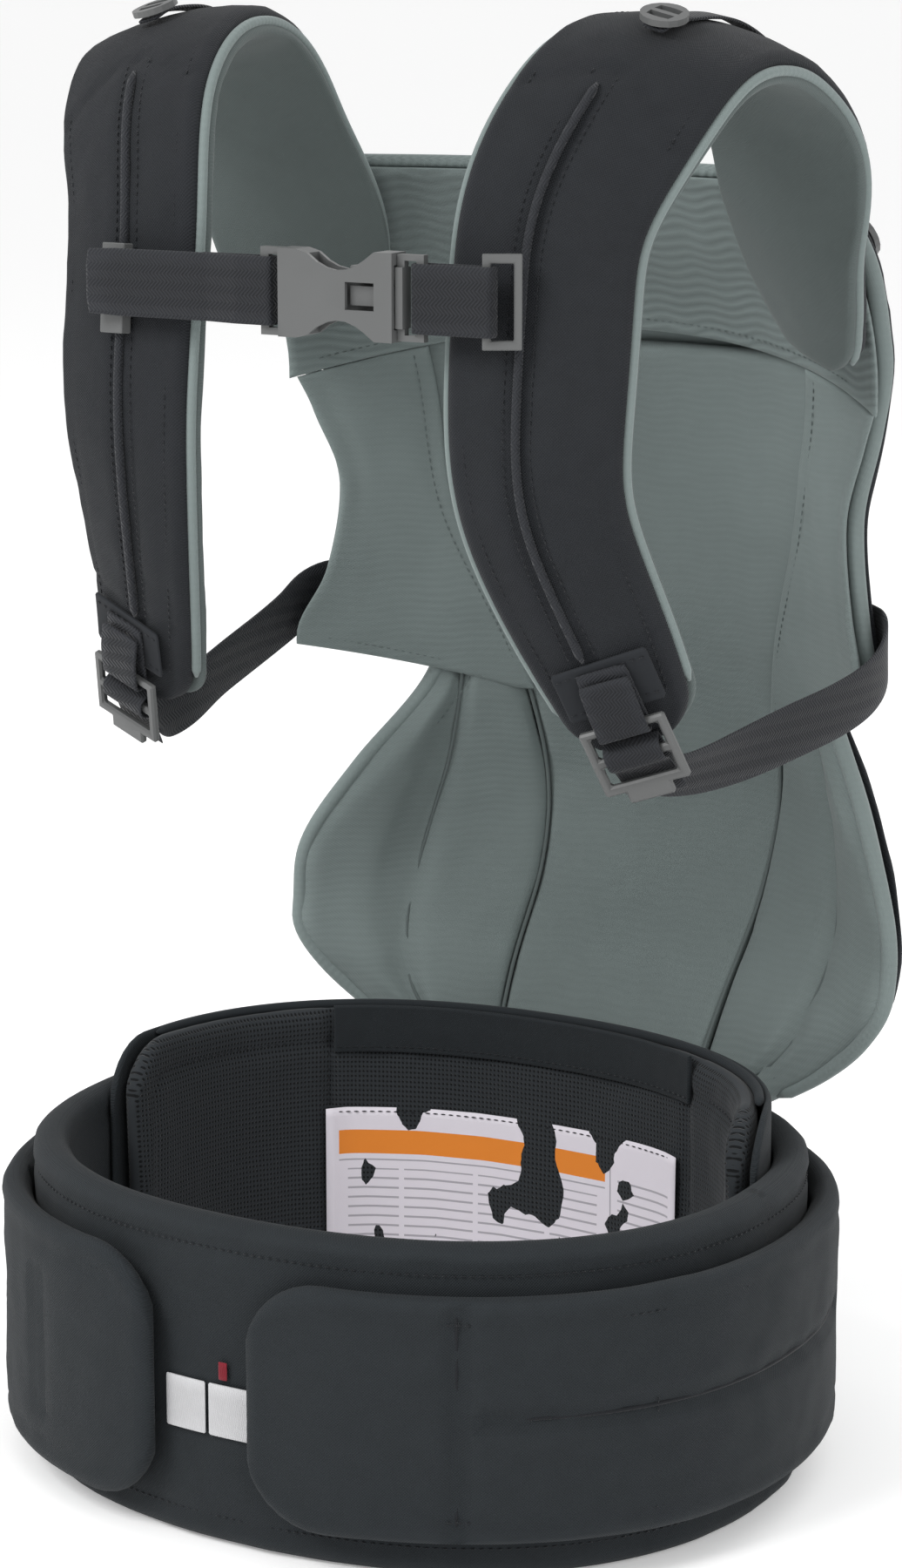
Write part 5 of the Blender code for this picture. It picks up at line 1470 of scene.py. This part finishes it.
class CARRIER_OT_belt_band(bpy.types.Operator):
    """Builds the closed padded band of the belt."""
    bl_idname = "carrier.belt_band"
    bl_label = "Belt Band"
    bl_options = {"REGISTER", "UNDO"}

    def execute(self, context):
        build_band()
        return {"FINISHED"}


class CARRIER_OT_back_pad(bpy.types.Operator):
    """Builds the mesh pad, its cover, hem and piping inside the belt."""
    bl_idname = "carrier.back_pad"
    bl_label = "Back Pad"
    bl_options = {"REGISTER", "UNDO"}

    def execute(self, context):
        build_back_pad()
        return {"FINISHED"}


class CARRIER_OT_care_label(bpy.types.Operator):
    """Builds the plain satin care label."""
    bl_idname = "carrier.care_label"
    bl_label = "Care Label"
    bl_options = {"REGISTER", "UNDO"}

    def execute(self, context):
        build_label()
        return {"FINISHED"}


class CARRIER_OT_wings(bpy.types.Operator):
    """Builds both padded wings with their hook and loop tapes."""
    bl_idname = "carrier.wings"
    bl_label = "Belt Wings"
    bl_options = {"REGISTER", "UNDO"}

    def execute(self, context):
        build_wings()
        return {"FINISHED"}


class CARRIER_OT_tabs(bpy.types.Operator):
    """Builds the two white tabs and the size tag."""
    bl_idname = "carrier.tabs"
    bl_label = "Tabs"
    bl_options = {"REGISTER", "UNDO"}

    def execute(self, context):
        build_tabs()
        return {"FINISHED"}


class CARRIER_OT_lining(bpy.types.Operator):
    """Builds the ribbed and plain linings of the body panel."""
    bl_idname = "carrier.lining"
    bl_label = "Panel Lining"
    bl_options = {"REGISTER", "UNDO"}

    def execute(self, context):
        build_lining()
        return {"FINISHED"}


class CARRIER_OT_seat(bpy.types.Operator):
    """Builds the padded seat wings with their rolled borders."""
    bl_idname = "carrier.seat"
    bl_label = "Seat Wings"
    bl_options = {"REGISTER", "UNDO"}

    def execute(self, context):
        build_seat()
        return {"FINISHED"}


class CARRIER_OT_outer_cloth(bpy.types.Operator):
    """Builds the outer cloth of the panel and the seat."""
    bl_idname = "carrier.outer_cloth"
    bl_label = "Outer Cloth"
    bl_options = {"REGISTER", "UNDO"}

    def execute(self, context):
        build_outer_cloth()
        return {"FINISHED"}


class CARRIER_OT_straps(bpy.types.Operator):
    """Builds the padded shoulder straps with bindings, rails and stitches."""
    bl_idname = "carrier.straps"
    bl_label = "Shoulder Straps"
    bl_options = {"REGISTER", "UNDO"}

    def execute(self, context):
        build_straps()
        return {"FINISHED"}


class CARRIER_OT_strap_webbing(bpy.types.Operator):
    """Builds the webbing of the shoulder straps and panel sides."""
    bl_idname = "carrier.strap_webbing"
    bl_label = "Strap Webbing"
    bl_options = {"REGISTER", "UNDO"}

    def execute(self, context):
        build_strap_webbing()
        return {"FINISHED"}


class CARRIER_OT_chest_strap(bpy.types.Operator):
    """Builds the webbing of the chest strap."""
    bl_idname = "carrier.chest_strap"
    bl_label = "Chest Strap"
    bl_options = {"REGISTER", "UNDO"}

    def execute(self, context):
        build_chest_strap()
        return {"FINISHED"}


class CARRIER_OT_hardware(bpy.types.Operator):
    """Gives the buckle, locks, discs and sliders their moulded finish."""
    bl_idname = "carrier.hardware"
    bl_label = "Hardware"
    bl_options = {"REGISTER", "UNDO"}

    def execute(self, context):
        paint_hardware()
        return {"FINISHED"}


class CARRIER_OT_stage(bpy.types.Operator):
    """Builds the floor, lights and camera."""
    bl_idname = "carrier.stage"
    bl_label = "Studio"
    bl_options = {"REGISTER", "UNDO"}

    def execute(self, context):
        build_stage()
        return {"FINISHED"}


STEPS = (CARRIER_OT_belt_band,
         CARRIER_OT_back_pad,
         CARRIER_OT_care_label,
         CARRIER_OT_wings,
         CARRIER_OT_tabs,
         CARRIER_OT_lining,
         CARRIER_OT_seat,
         CARRIER_OT_outer_cloth,
         CARRIER_OT_straps,
         CARRIER_OT_strap_webbing,
         CARRIER_OT_chest_strap,
         CARRIER_OT_hardware,
         CARRIER_OT_stage)


class CARRIER_PT_sidebar(bpy.types.Panel):
    """Sizes, colours and building steps of the carrier."""
    bl_label = "Soft Baby Carrier"
    bl_idname = "CARRIER_PT_sidebar"
    bl_space_type = "VIEW_3D"
    bl_region_type = "UI"
    bl_category = "Carrier"

    def draw(self, context):
        layout = self.layout
        for group in (context.scene.carrier_sizes, context.scene.carrier_colours):
            box = layout.box()
            for key in group.bl_rna.properties.keys():
                if key not in ("rna_type", "name"):
                    box.prop(group, key)
        for kind in STEPS:
            layout.operator(kind.bl_idname)


CLASSES = (CarrierSizes, CarrierColours) + STEPS + (CARRIER_PT_sidebar,)


def register():
    for kind in CLASSES:
        bpy.utils.register_class(kind)
    bpy.types.Scene.carrier_sizes = bpy.props.PointerProperty(type=CarrierSizes)
    bpy.types.Scene.carrier_colours = bpy.props.PointerProperty(type=CarrierColours)


def unregister():
    del bpy.types.Scene.carrier_colours
    del bpy.types.Scene.carrier_sizes
    for kind in reversed(CLASSES):
        bpy.utils.unregister_class(kind)


def main():
    register()
    for kind in STEPS:
        group, name = kind.bl_idname.split(".")
        getattr(getattr(bpy.ops, group), name)()
    bpy.context.view_layer.update()


if __name__ == "__main__":
    main()
